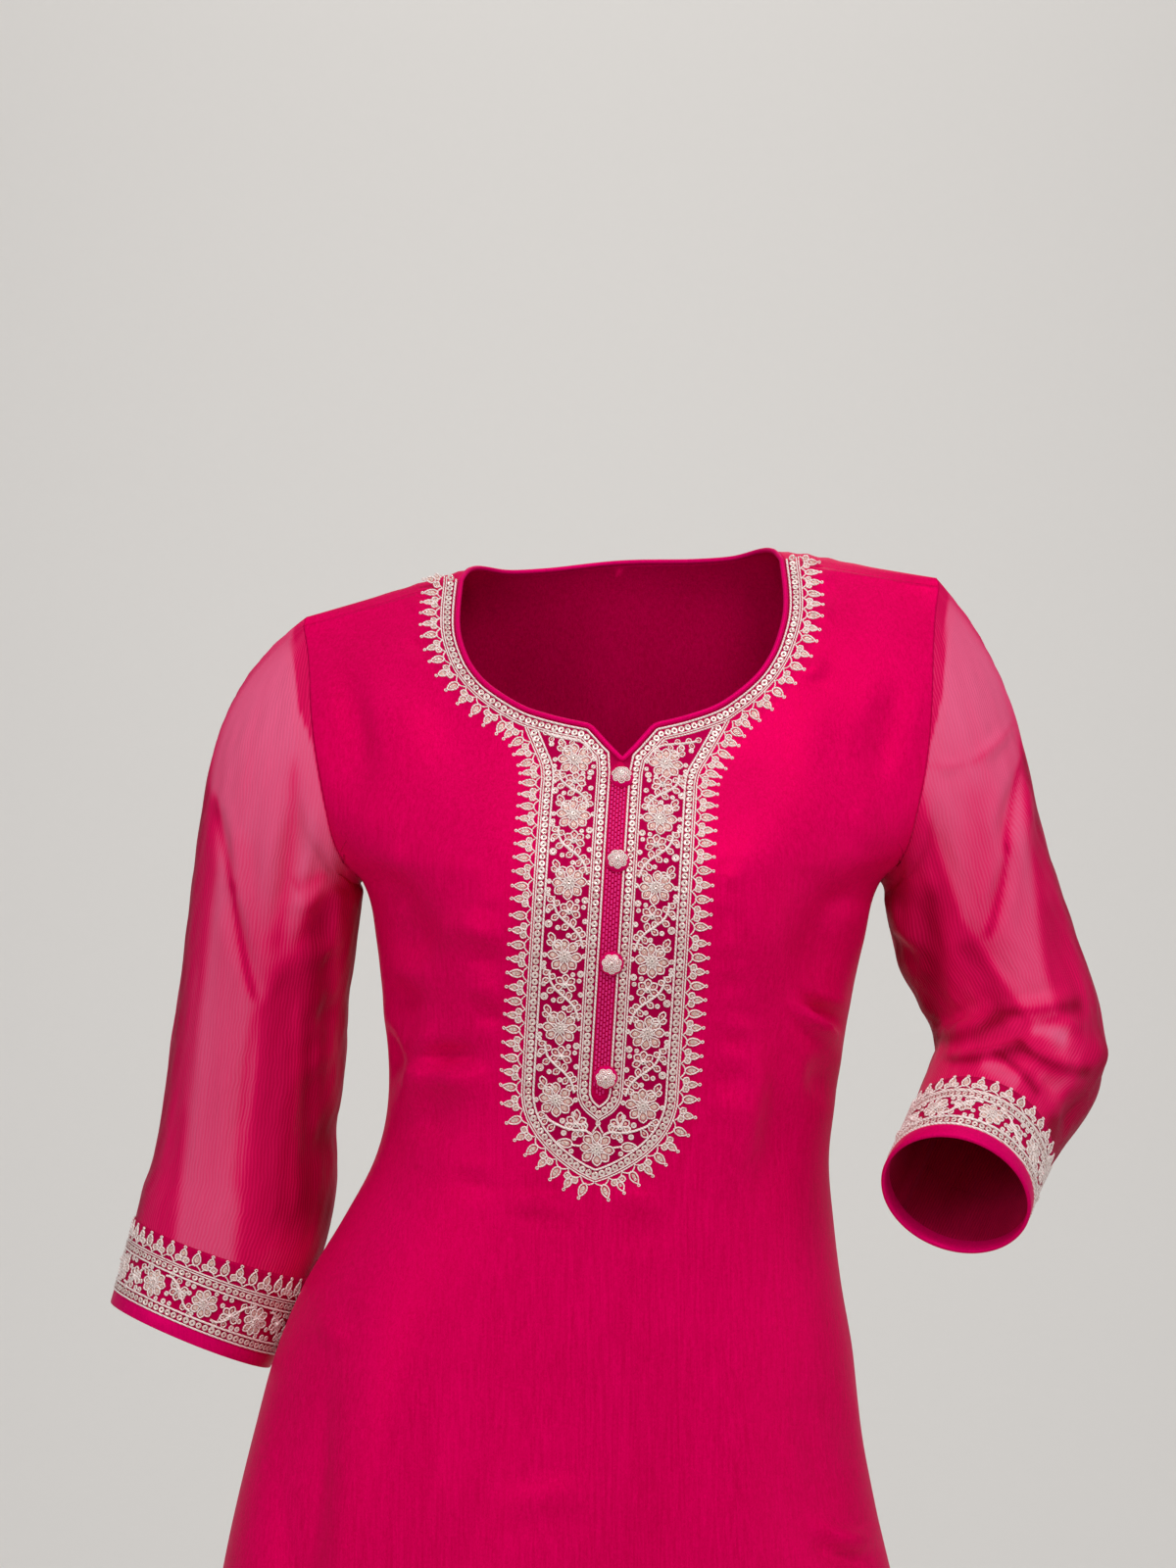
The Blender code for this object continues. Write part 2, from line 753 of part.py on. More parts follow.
def sleeve_rings(arm, loop):
    """Rings of the sleeve from the armhole to the hem, and which of them bound its pieces."""
    count = len(loop)
    frames = arm_frames(arm)
    lengths = arm_lengths(frames)
    under = arm_ring(arm, frames, lengths, 0.0, count)
    axis = (frames[1][0] - frames[0][0]).normalized()
    rings = [[] for _ in range(CAP_ROWS + 1)]
    for start, end in zip(loop, under):
        reach = (end - start).length * CAP_LIFT
        away = (end - start).normalized() * 0.5 + CAP_DIRECTION[arm] * 0.5
        begin = start + away.normalized() * CAP_GAP
        for row in range(CAP_ROWS + 1):
            t = row / CAP_ROWS
            point = bezier(begin, begin + CAP_DIRECTION[arm] * reach, end - axis * reach, end, t)
            rings[row].append(point)
    band = lengths[-1] - HEM_BAND - CUFF_PANEL
    for row in range(1, ARM_ROWS + 1):
        rings.append(arm_ring(arm, frames, lengths, band * row / ARM_ROWS, count))
    panel_top = len(rings) - 1
    for share in (0.5, 1.0):
        rings.append(arm_ring(arm, frames, lengths, band + CUFF_PANEL * share, count))
    panel_foot = len(rings) - 1
    rings.append(arm_ring(arm, frames, lengths, lengths[-1], count))
    return rings, panel_top, panel_foot


def outward_sheet(rings):
    """A tube's sheet with its normals pointing away from the axis."""
    sheet = Sheet().grid(rings, closed=True)
    middle = sum(rings[0], Vector()) / len(rings[0])
    face = sheet.faces[0]
    pa, pb, pc = (sheet.points[k] for k in face)
    if (pb - pa).cross(pc - pa).dot(pa - middle) < 0:
        sheet.faces = [list(reversed(f)) for f in sheet.faces]
    return sheet


def ring_normals(rings):
    """The outward normal at every point of a tube's rings."""
    sheet = outward_sheet(rings)
    normals = sheet.normals()
    return [[normals[sheet.index(point)] for point in ring] for ring in rings]


def part_way(rings, row):
    """A ring at a fractional row of a list of rings of points or normals."""
    low = min(int(row), len(rings) - 2)
    return [a + (b - a) * (row - low) for a, b in zip(rings[low], rings[low + 1])]


def tube_piece(name, rings, first, last, finish, outer, inner):
    """A wall on the sleeve's rings from one row to another, which may be fractional."""
    normals = ring_normals(rings)
    whole = [row for row in range(len(rings)) if first + 1e-6 < row < last - 1e-6]
    rows = [first, *whole, last]
    points = [part_way(rings, row) for row in rows]
    ways = [part_way(normals, row) for row in rows]
    sheet = outward_sheet(points)
    known = {sheet.index(p): n for ring, way in zip(points, ways) for p, n in zip(ring, way)}
    ordered = [known[k].normalized() for k in range(len(sheet.points))]
    shell(name, sheet, finish, outer, inner, ordered)


def rows_for(rings, row, distance):
    """The share of a row that a distance along the tube takes up at this row."""
    low = min(row, len(rings) - 2)
    spans = [(b - a).length for a, b in zip(rings[low], rings[low + 1])]
    return distance / (sum(spans) / len(spans))


def build_sleeve(arm, grids):
    rings, panel_top, panel_foot = sleeve_rings(arm, armhole_loop(grids, arm))
    foot = len(rings) - 1
    gap = rows_for(rings, panel_foot - 1, SEAM)
    end = panel_foot - gap
    tube_piece(f"sleeve_{arm}", rings, 0, end, "sheer", 0.0, -CLOTH)
    start = rows_for(rings, 0, SEAM)
    inside = -CLOTH - FACING_LAY
    tube_piece(
        f"armhole_facing_{arm}", rings, start, FACING_SHARE, "crepe", inside, inside - CLOTH
    )
    tube_piece(
        f"cuff_panel_{arm}", rings, panel_top, end, "embroidered", CLOTH + LAY, LAY
    )
    tube_piece(f"cuff_hem_{arm}", rings, panel_foot, foot, "piping", CLOTH + LAY, -CLOTH)


# ---------------------------------------------------------------- salwar


def ring_angles():
    """(sine, turn) right round a section, turn being -1 on the front and 1 on the back."""
    quarter = [math.sin(math.pi / 2 * k / HALF_COLUMNS) for k in range(HALF_COLUMNS + 1)]
    front = [(s, -1) for s in quarter[:-1]]
    back = [(s, 1) for s in reversed(quarter)]
    far = [(-s, 1) for s in quarter[1:]]
    last = [(-s, -1) for s in reversed(quarter[1:-1])]
    return front + back + far + last


def rounded(half, front, back, angle):
    """A point of a rounded ring. The angle runs from the outer side, front being negative."""
    sine = math.sin(angle)
    depth = back if sine > 0 else -front
    return half * math.cos(angle), math.copysign(abs(sine) ** 0.8, sine) * depth


def waist_ring(level, inset):
    """The kameez's own ring at this level, drawn in on every side."""
    points = [torso(level, sine, turn) for sine, turn in ring_angles()]
    count = len(points)
    ring = []
    for k, point in enumerate(points):
        run = points[(k + 1) % count] - points[k - 1]
        ring.append(point + Vector((-run.y, run.x, 0)).normalized() * inset)
    return ring


def belt_ring(level):
    """From the waistband's ring to the tops of the legs."""
    share = smooth((WAIST_FOOT - level) / (WAIST_FOOT - BELT_FOOT))
    upper = waist_ring(level, CLOTH + WAIST_INSET + BELT_INSET)
    row = read(LEG, LEG_COLUMNS, BELT_FOOT)
    ring = []
    for point, (sine, turn) in zip(upper, ring_angles()):
        angle = math.asin(turn * math.sqrt(max(0.0, 1 - sine * sine)))
        x, y = rounded(row["half"], row["front"], row["back"], angle)
        lower = Vector((LEG_CENTRE + math.copysign(x, sine), y, level))
        ring.append(point.lerp(lower, share))
    return ring


def build_waistband_and_belt():
    """The drawstring casing, close under the kameez, and the plain belt sewn below it."""
    inset = CLOTH + WAIST_INSET
    outer = [waist_ring(level, inset) for level in (WAIST_TOP, WAIST_FOOT)]
    inner = [waist_ring(level, inset + WAIST_WALL) for level in (WAIST_FOOT, WAIST_TOP)]
    sheet = Sheet().grid(outer + inner + outer[:1], closed=True)
    add_object("salwar_waistband", sheet.points, outward_faces(sheet), "salwar_crepe")
    levels = (WAIST_FOOT - SEAM, (WAIST_FOOT + BELT_FOOT) / 2, BELT_FOOT)
    shell("salwar_belt", outward_sheet([belt_ring(level) for level in levels]), "salwar_crepe")


def leg_line(side, level):
    """One row of a leg from the centre front round its outer side to the centre back. Below the
    crotch both ends meet on the inner leg seam."""
    row = read(LEG, LEG_COLUMNS, level)
    reach = row["centre"] - LEG_GAP / 2
    limit = math.acos(max(-1.0, -reach / row["half"])) if row["half"] > reach else math.pi
    line = []
    for k in range(LEG_ROUND + 1):
        angle = limit * (2 * k / LEG_ROUND - 1)
        pleat = row["pleat"] * math.cos(LEG_PLEATS * angle * math.pi / limit)
        fade = math.cos(angle * math.pi / 2 / limit) ** 0.5 if abs(angle) < limit else 0.0
        grow = pleat * fade
        x, y = rounded(row["half"] + grow, row["front"] - grow, row["back"] + grow, angle)
        away = max(LEG_GAP / 2, row["centre"] + x)
        line.append(Vector((LEG_CENTRE + side * away, y, level)))
    if limit == math.pi:
        line[-1] = line[0].copy()
    return line


def build_leg(arm):
    side = SIDES[arm]
    levels = [BELT_FOOT - SEAM, *LEG_LEVELS, ANKLE + PONCHA]
    sheet = Sheet().grid([leg_line(side, level) for level in levels], flip=side > 0)
    shell(f"salwar_leg_{arm}", sheet, "salwar_crepe")
    band = [leg_line(side, ANKLE + PONCHA - SEAM)[:-1], leg_line(side, ANKLE)[:-1]]
    shell(f"salwar_poncha_{arm}", outward_sheet(band), "salwar_crepe", 0.5, -1.5)


# ---------------------------------------------------------------- the suit


def clear_scene():
    for item in list(bpy.data.objects):
        bpy.data.objects.remove(item, do_unlink=True)


def main():
    clear_scene()
    sheets, normals, grids = body_sheets()
    shell("kameez_front", sheets[-1], "crepe", normals=normals[-1])
    shell("kameez_back", sheets[1], "crepe", normals=normals[1])
    build_piping(grids)
    build_yoke(sheets[-1])
    build_buttons()
    for arm in ("right", "left"):
        build_sleeve(arm, grids)
    build_waistband_and_belt()
    for arm in ("right", "left"):
        build_leg(arm)


main()
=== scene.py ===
"""Salwar kameez suit as it is worn: an embroidered crepe kameez with sheer sleeves, over a salwar.

Left and right are the wearer's. The tables and the working are in millimetres, and every mesh is
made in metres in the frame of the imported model.
"""

import math

import bpy
import numpy as np
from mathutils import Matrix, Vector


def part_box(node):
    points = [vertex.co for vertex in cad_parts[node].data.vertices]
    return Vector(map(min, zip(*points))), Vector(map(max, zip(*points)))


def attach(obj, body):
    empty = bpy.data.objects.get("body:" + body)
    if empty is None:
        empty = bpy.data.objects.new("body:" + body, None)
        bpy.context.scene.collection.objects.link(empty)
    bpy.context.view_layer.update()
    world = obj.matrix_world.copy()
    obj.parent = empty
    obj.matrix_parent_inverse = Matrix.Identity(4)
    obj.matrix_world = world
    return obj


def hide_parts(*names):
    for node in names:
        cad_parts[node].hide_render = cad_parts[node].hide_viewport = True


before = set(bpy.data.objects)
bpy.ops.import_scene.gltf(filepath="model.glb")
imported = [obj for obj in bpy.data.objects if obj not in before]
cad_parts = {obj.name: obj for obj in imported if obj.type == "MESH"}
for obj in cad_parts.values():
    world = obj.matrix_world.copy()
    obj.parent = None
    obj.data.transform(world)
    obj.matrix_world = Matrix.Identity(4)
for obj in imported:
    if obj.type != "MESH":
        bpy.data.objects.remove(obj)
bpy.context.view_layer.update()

bl_info = {
    "name": "Salwar kameez suit",
    "version": (1, 0, 0),
    "blender": (4, 5, 0),
    "location": "View3D > Sidebar > Suit",
    "description": "Sews the cloth, embroidery, buttons and sheer sleeves of a salwar kameez suit",
    "category": "Object",
}

MM = 0.001
# Sockets of the colour mix node
MIX_FACTOR, MIX_LOW, MIX_HIGH, MIX_RESULT = 0, 6, 7, 2
WELD_WITHIN = 0.01

# Sewing
CLOTH = 0.8
SEAM = 0.3
PIPING_RADIUS, PIPING_STEP = 1.6, 1.7
HEM_BAND = 12.0  # of the cuffs
HEM_TURN = 15.0  # of the kameez
CUFF_PANEL = 47.0
KAMEEZ_LENGTH = 1100.0
SLIT_TOP = -620.0
SLIT_SPREAD = 14.0

# How the shoulder rows slope, and how the worn garment tilts
SHOULDER_SLOPE, SLOPE_ENDS = 0.24, -120.0
NECK_ROUNDING, SIDE_NECK = 30.0, 104.4
STANCE_TILT, STANCE_ENDS, STANCE_FADE = 0.062, -120.0, 100.0

# Bust fullness
BUST_RISE, BUST_X, BUST_LEVEL = 11.5, 80.0, -196.0
BUST_WIDE, BUST_HIGH = 48.0, 55.0

# The torso form: level, left and right reach, centre line, and the depth of the side seam
FORM = (
    (30, 200, 200, 0, -8), (0, 200, 200, 0, -8), (-15, 212, 212, 0, -5), (-40, 222, 222, 0, -2),
    (-75, 224, 224, 0, 0), (-110, 217, 217, 0, 2), (-150, 200, 200, -1, 4), (-175, 181, 181, -2, 4),
    (-192, 160, 160, -4, 4), (-230, 151, 149, -6, 3), (-280, 146, 139, -9, 1),
    (-326, 144, 132, -11, 0), (-362, 152, 128, -14, 1), (-400, 172, 131, -18, 3),
    (-440, 196, 136, -23, 6), (-480, 213, 143, -28, 8), (-527, 226, 148, -33, 9),
    (-580, 239, 158, -38, 9), (-620, 247, 167, -40, 9), (-760, 268, 190, -40, 8),
    (-920, 285, 206, -40, 6), (-1100, 298, 218, -40, 4),
)
# Front: level, depth, squareness. Back: level, depth, squareness, height.
FRONT = (
    (0, -8, 1.0), (-15, -25, 0.9), (-40, -47, 0.85), (-75, -67, 0.8), (-115, -85, 0.8),
    (-150, -107, 0.8), (-185, -122, 0.8), (-215, -127, 0.8), (-245, -126, 0.8), (-285, -119, 0.8),
    (-326, -113, 0.8), (-362, -110, 0.8), (-400, -109, 0.8), (-480, -111, 0.8), (-580, -114, 0.8),
    (-760, -119, 0.75), (-920, -124, 0.7), (-1100, -130, 0.7),
)
BACK = (
    (30, -8, 1.0, 0), (20, 5, 1.0, 5), (8, 21, 1.0, 4), (-5, 36, 0.95, -5), (-30, 57, 0.9, -30),
    (-75, 79, 0.85, -75), (-115, 91, 0.8, -115), (-150, 96, 0.8, -150), (-192, 94, 0.8, -192),
    (-240, 85, 0.8, -240), (-285, 74, 0.8, -285), (-326, 67, 0.8, -326), (-362, 69, 0.8, -362),
    (-400, 79, 0.8, -400), (-440, 93, 0.8, -440), (-480, 104, 0.8, -480), (-580, 116, 0.8, -580),
    (-760, 122, 0.75, -760), (-920, 127, 0.7, -920), (-1100, 133, 0.7, -1100),
)
# Rows of each panel above the underarm: the neckline's x and level, the armhole's x and level
FRONT_ROWS = (
    (100, 0, 196, 0), (101.5, -19, 193, -20), (101, -33, 191, -44), (97.8, -46, 190, -66),
    (92, -59.5, 188.5, -88), (81, -73.3, 186.5, -108), (61, -87.3, 183.5, -128),
    (40, -94.6, 180, -147), (20, -99, 175.5, -166), (9.8, -109.5, 168.5, -182),
    (0, -119, 160, -192),
)
BACK_ROWS = (
    (100, 30, 196, 30), (95, 19, 194.5, 17), (87, 8, 193, -4), (72, -2, 191.5, -32),
    (48, -8, 190, -62), (24, -11, 188, -92), (0, -12, 185.5, -118), (0, -50, 181, -143),
    (0, -88, 176, -166), (0, -122, 168.5, -182), (0, -152, 160, -192),
)
V_CORNER, NOTCH, BACK_CENTRE = 8, 10, 6  # rows where the neckline turns
FRONT_CENTRE_LEVELS = (-119, -152, -188, -226, -266, -306, -346)
BACK_CENTRE_LEVELS = (-152, -182, -210, -240, -272, -308, -346)
SIDE_LEVELS = (-192, -206, -224, -248, -277, -310, -347)
COLUMNS = 56  # across one half of a panel
ROW_PARTS, LOWER_PARTS = 6, 8  # fine rows to each row of the tables above
# Level rows below those: even ones down the skirt, and closer ones down the turned hem
SKIRT_LEVELS = np.concatenate(
    [np.arange(-352, -1080, -6.0), np.arange(-1081, -1100.5, -1.9), [-1100]]
)

# Hem flutes: where each crest lies across the panel, its width and its rise at the hem
FRONT_FLUTES = ((-0.62, 0.34, 17), (0.05, 0.34, -12), (0.64, 0.34, 18))
BACK_FLUTES = ((-0.58, 0.32, 16), (0.0, 0.32, 14), (0.58, 0.32, 15))
FLUTES_START = -560.0

CREASE_DEPTH = 2.0  # of the rises in the tables below
DEEPER_BELOW, DEEPER_WITHIN, DEEPER_BY = -560, 220, 0.8
# Soft creases: x and z of both ends, width, rise (minus for a trough) and how far the line bows
FRONT_CREASES = (
    # drawn in at the waist, wearer's right
    (-141, -301, -72, -296, 6, -3.0, 3), (-134, -313, -74, -309, 9, 2.6, 3),
    (-146, -248, -121, -273, 9, -3.4, 0), (-147, -272, -136, -317, 6, -2.8, 0),
    (-115, -264, -139, -344, 7, 2.8, 4), (-150, -212, -104, -230, 15, -3.6, 0),
    (-122, -222, -68, -202, 9, 2.0, -4), (-138, -338, -92, -326, 9, -1.6, -4),
    # small puckers beside the embroidery, wearer's right
    (-95, -208, -68, -206, 4, -1.1, 0), (-96, -221, -66, -222, 4, 1.6, 0),
    (-96, -237, -66, -236, 4, -1.6, 0), (-96, -254, -66, -256, 5, 1.7, 0),
    (-92, -271, -67, -270, 4, -1.4, 0),
    # below the embroidery
    (-110, -374, -69, -376, 3.4, -2.2, 3), (-74, -376, -28, -386, 3.6, 2.2, -2),
    (-62, -391, -26, -392, 4, -1.7, -1), (-14, -378, 28, -388, 6, 1.5, 3),
    (-20, -400, 44, -392, 8, -1.1, -4),
    # wearer's left flank
    (97, -261, 136, -293, 4.4, 3.8, 2), (106, -257, 140, -282, 5, -2.8, 0),
    (117, -290, 128, -334, 9, -3.2, 0), (127, -184, 116, -278, 18, -4.6, 0),
    (81, -262, 62, -392, 12, 3.0, 3), (106, -284, 90, -392, 16, -2.6, 0),
    (54, -274, 80, -283, 4, 1.9, 2), (52, -250, 76, -252, 4, -1.4, 0),
    (50, -230, 74, -227, 4, 1.4, 0), (50, -213, 72, -210, 4, -1.1, 0),
    (50, -293, 78, -297, 4, 1.7, 0), (48, -307, 76, -312, 4, -1.5, 0),
    (46, -322, 78, -328, 5, 1.3, -2), (54, -190, 74, -186, 4, 0.9, 0),
    # beside the neckline
    (111, -5, 134, -3, 3.6, 1.1, 0), (111, -15, 134, -15, 3.4, -1.0, 0),
    (111, -26, 132, -28, 3.6, 1.0, 0), (104, -66, 128, -58, 5, 1.0, 0),
    (-134, -20, -114, -26, 4, 0.9, 0), (-136, -44, -112, -52, 5, -1.0, 0),
    # across the chest and round the armholes
    (-150, -196, -116, -206, 8, -1.8, 3), (-152, -182, -128, -168, 8, 1.2, -3),
    (150, -196, 118, -212, 8, -1.8, -3), (160, -172, 140, -140, 8, 1.2, 4),
    (-174, -44, -160, -156, 10, -2.0, 4), (-148, -60, -126, -150, 16, 1.6, 6),
    (172, -60, 158, -150, 10, -1.6, -4), (124, -70, 104, -160, 20, 1.6, -6),
    # the skirt's soft folds
    (-134, -410, -148, -640, 26, 3.2, 0), (-188, -440, -208, -720, 15, -3.2, 4),
    (-96, -440, -104, -700, 24, -2.2, -6), (-46, -430, -52, -760, 28, 1.8, 4),
    (8, -480, 4, -800, 26, -2.0, -6), (58, -430, 72, -720, 26, 2.4, 5),
    (104, -496, 140, -566, 12, -2.8, 4), (110, -574, 160, -597, 5, 2.8, -3),
    (110, -586, 162, -610, 6, -2.6, -3), (-78, -566, -4, -554, 8, 1.4, 5),
    (-160, -470, -190, -452, 7, 1.4, 3), (-140, -660, -164, -980, 24, -2.6, 6),
    (-60, -700, -66, -1010, 28, 2.4, -6), (44, -680, 54, -1000, 28, -2.4, 5),
    (126, -640, 166, -960, 20, 3.0, 6), (-215, -680, -240, -1000, 22, 3.0, 6),
)
# Gathers at the back of the shoulder seams: x, width, rise
PUCKERS = (
    (-101, 3.6, 2.6), (-113, 5.0, 4.2), (-126, 5.0, 2.2), (-142, 8.0, 1.2), (104, 4.0, 2.6),
    (115, 5.0, 4.4), (128, 6.0, 3.6), (143, 8.0, 1.6),
)
BACK_CREASES = (
    (-120, -288, 60, -300, 12, -2.4, 9), (-110, -312, 84, -318, 10, 2.4, 10),
    (-128, -338, 50, -342, 11, -2.2, 9), (-90, -360, 96, -364, 12, 1.8, 8),
    (-140, -250, -100, -296, 12, 1.8, 5), (128, -250, 92, -300, 12, 1.8, -5),
    (-150, -196, -112, -222, 9, 1.8, 4), (150, -196, 110, -224, 9, 1.8, -4),
    (-160, -176, -120, -150, 9, -1.6, 5), (160, -176, 118, -148, 9, -1.6, -5),
    (-70, -40, -60, -150, 26, 1.6, 6), (72, -40, 62, -150, 26, 1.6, -6),
    (-160, -430, -190, -700, 26, 2.8, 8), (-90, -450, -104, -800, 28, -2.6, 8),
    (10, -470, 6, -820, 30, 2.4, -8), (96, -460, 126, -780, 26, -2.6, 8),
    (-36, -640, -44, -1010, 30, -2.2, 6),
)

# Sleeves: the axis of the arm's tube and the two half widths of its rings
ARMS = {
    "right": (
        (-212.5, 8, -193, 53, 50), (-217.5, 16, -229, 53, 50), (-223, 25, -266, 53, 50),
        (-227, 33, -302, 55, 51), (-232.5, 41, -338, 55, 52), (-236, 47, -374, 58, 54),
        (-243, 50, -404, 60, 55), (-254, 51, -438, 58, 53), (-270.5, 50, -478, 53, 49),
    ),
    "left": (
        (215, 6, -193, 53, 51), (224, 9, -226, 55, 52), (236, 9, -253, 52, 52),
        (245, 3, -280, 52, 51), (244, -11, -307, 52, 50), (230, -34, -328, 48, 47),
        (217, -61, -347, 45, 45), (207.5, -84, -362, 44, 44), (198.6, -106, -377, 45, 43),
    ),
}
SIDES = {"right": -1, "left": 1}
CAP_GAP, CAP_LIFT = 0.25, 0.42
CAP_DIRECTION = {"right": np.array((-0.8, 0.0, -0.6)), "left": np.array((0.66, 0.0, -0.75))}
CAP_RINGS, ARM_RINGS = 60, 130
CAP_SETTLES = 24  # from the armhole to where the cap's creases are full
SLEEVE_SEAM = math.radians(215)  # the turn at which its cloth meets
ARM_RADIUS, ARM_DEGREE = 52, 0.9  # about, to measure round the arm
PLAIN_END = 62  # of the sleeve, without creases
HANGING, DEEPEST = 0.56, 0.94  # how deep the sleeve's colour is where the cloth hangs free, and at most
# Widths under the arm, and how much wider they are over the shoulder
FACING_UNDER, FACING_WIDER = 7.2, 6.4  # of the armhole facing
SEAM_UNDER, SEAM_WIDER = 1.5, 7.5  # of the seam allowance that shows through the cap
# Sleeve creases on the front, laid out like the body's: x and z of both ends, width, rise, bow
SLEEVE_CREASES = {
    "right": (
        (-250, -136, -235, -205, 4.5, -2.6, 0), (-241, -180, -223, -268, 4.5, -2.6, -2),
        (-224, -262, -236, -385, 6, -1.8, -2), (-243, -150, -230, -222, 6, 2.0, 0),
        (-199, -112, -212, -240, 6, -2.2, 3), (-208, -122, -222, -222, 7, 1.5, 3),
        (-190, -160, -203, -238, 5, 1.6, 0), (-205, -255, -212, -400, 9, 1.8, 3),
        (-193, -250, -199, -410, 8, -2.0, 3), (-188, -230, -192, -330, 7, 1.6, -2),
        (-266, -215, -284, -400, 8, -1.4, 0), (-178, -184, -205, -214, 5, 2.2, 3),
        (-177, -196, -196, -236, 5, -2.2, 3), (-172, -226, -196, -250, 6, 2.0, -3),
        (-176, -258, -190, -286, 6, -1.8, 3), (-176, -290, -196, -324, 6, 1.6, -3),
        (-180, -330, -190, -372, 6, -1.6, 3), (-178, -196, -160, -196, 4, -1.4, 0),
    ),
    "left": (
        (243, -93, 211, -121, 4, 1.2, 2), (211, -120, 180, -119, 4, 1.0, 2),
        (246, -118, 234, -176, 4.5, -2.6, -2), (237, -166, 222, -228, 4.5, -2.4, 2),
        (250, -122, 243, -196, 6, 2.2, 0), (184, -126, 204, -214, 6, -1.6, 0),
        (205, -212, 240, -268, 8, -1.8, 4), (188, -196, 190, -280, 6, -1.8, 2),
        (176, -190, 181, -250, 6, 2.2, -2), (262, -196, 280, -276, 7, -1.6, -2),
        (186, -289, 236, -269, 6, 3.4, -3), (232, -270, 284, -266, 5, 2.6, 0),
        (196, -296, 262, -276, 3.4, -2.6, -2), (262, -277, 284, -284, 4, 2.2, 2),
        (194, -297, 246, -287, 5, 3.2, -3), (238, -287, 290, -310, 5, 3.0, -4),
        (204, -303, 254, -295, 4.4, -2.4, -3), (222, -292, 250, -318, 3.4, 2.2, 2),
        (204, -306, 226, -330, 5, -1.6, 2), (250, -300, 276, -330, 5, -2.0, -2),
        (256, -326, 270, -350, 6, 0.6, 0), (288, -318, 262, -354, 8, -4.4, 0),
        (160, -196, 172, -232, 5, 2.0, 3), (162, -222, 186, -252, 5, -2.4, 3),
        (184, -254, 192, -286, 5, 2.0, 0),
    ),
}
# Creases out of the front view: turn (degrees from the outer side towards the front) and distance
# below the underarm of both ends, width, rise
REAR_CREASES = {
    "right": (
        (192, 40, 230, 110, 8, 2.6), (186, 60, 244, 150, 8, -2.4), (200, 130, 236, 210, 8, 1.8),
        (240, -10, 262, 200, 10, 2.0), (282, 30, 290, 230, 11, -2.0), (318, -20, 326, 190, 10, 1.8),
        (350, 40, 344, 200, 10, 1.4),
    ),
    "left": (
        (196, 10, 240, 40, 7, 3.0), (188, 46, 244, 74, 7, -3.0), (186, 82, 230, 96, 6, 3.0),
        (350, 106, 30, 128, 8, 4.6), (240, 0, 250, 110, 10, 1.8), (286, -20, 290, 130, 10, -1.8),
        (320, 10, 322, 140, 10, 1.6), (210, 110, 268, 150, 8, -1.8),
    ),
}
# Where the sheer cloth is drawn over the front of the arm and is painted palest, as painted light:
# z, the x of its left and right edges, the depth of its colour and cover there, and how softly its
# right edge fades
PAINTED_LIGHT_BAND = {
    "right": (
        (-20, -226, -128, 0.04, 8), (-48, -238, -128, -0.02, 8), (-81, -250, -128, 0.0, 8),
        (-108, -254, -128, 0.06, 8), (-132, -254, -128, 0.12, 8), (-150, -247, -150, 0.12, 20),
        (-186, -247, -172, 0.13, 30), (-210, -251, -190, 0.17, 32), (-228, -253, -202, 0.23, 26),
        (-252, -256, -213, 0.23, 14), (-270, -259, -223, 0.23, 8), (-305, -263, -225, 0.24, 7),
        (-350, -269, -231, 0.25, 8), (-420, -277, -239, 0.24, 9),
    ),
    "left": (
        (-20, 128, 230, 0.08, 8), (-55, 128, 240, -0.06, 8), (-93, 140, 249, 0.06, 8),
        (-118, 176, 246, 0.16, 8), (-151, 186, 246, 0.18, 8), (-163, 190, 248, 0.22, 8),
        (-200, 202, 253, 0.24, 9), (-213, 207, 254, 0.24, 9), (-238, 223, 258, 0.24, 9),
        (-258, 236, 262, 0.24, 8), (-272, 245, 266, 0.28, 7), (-279, 250, 252, 0.52, 6),
        (-420, 250, 252, 0.52, 6),
    ),
}
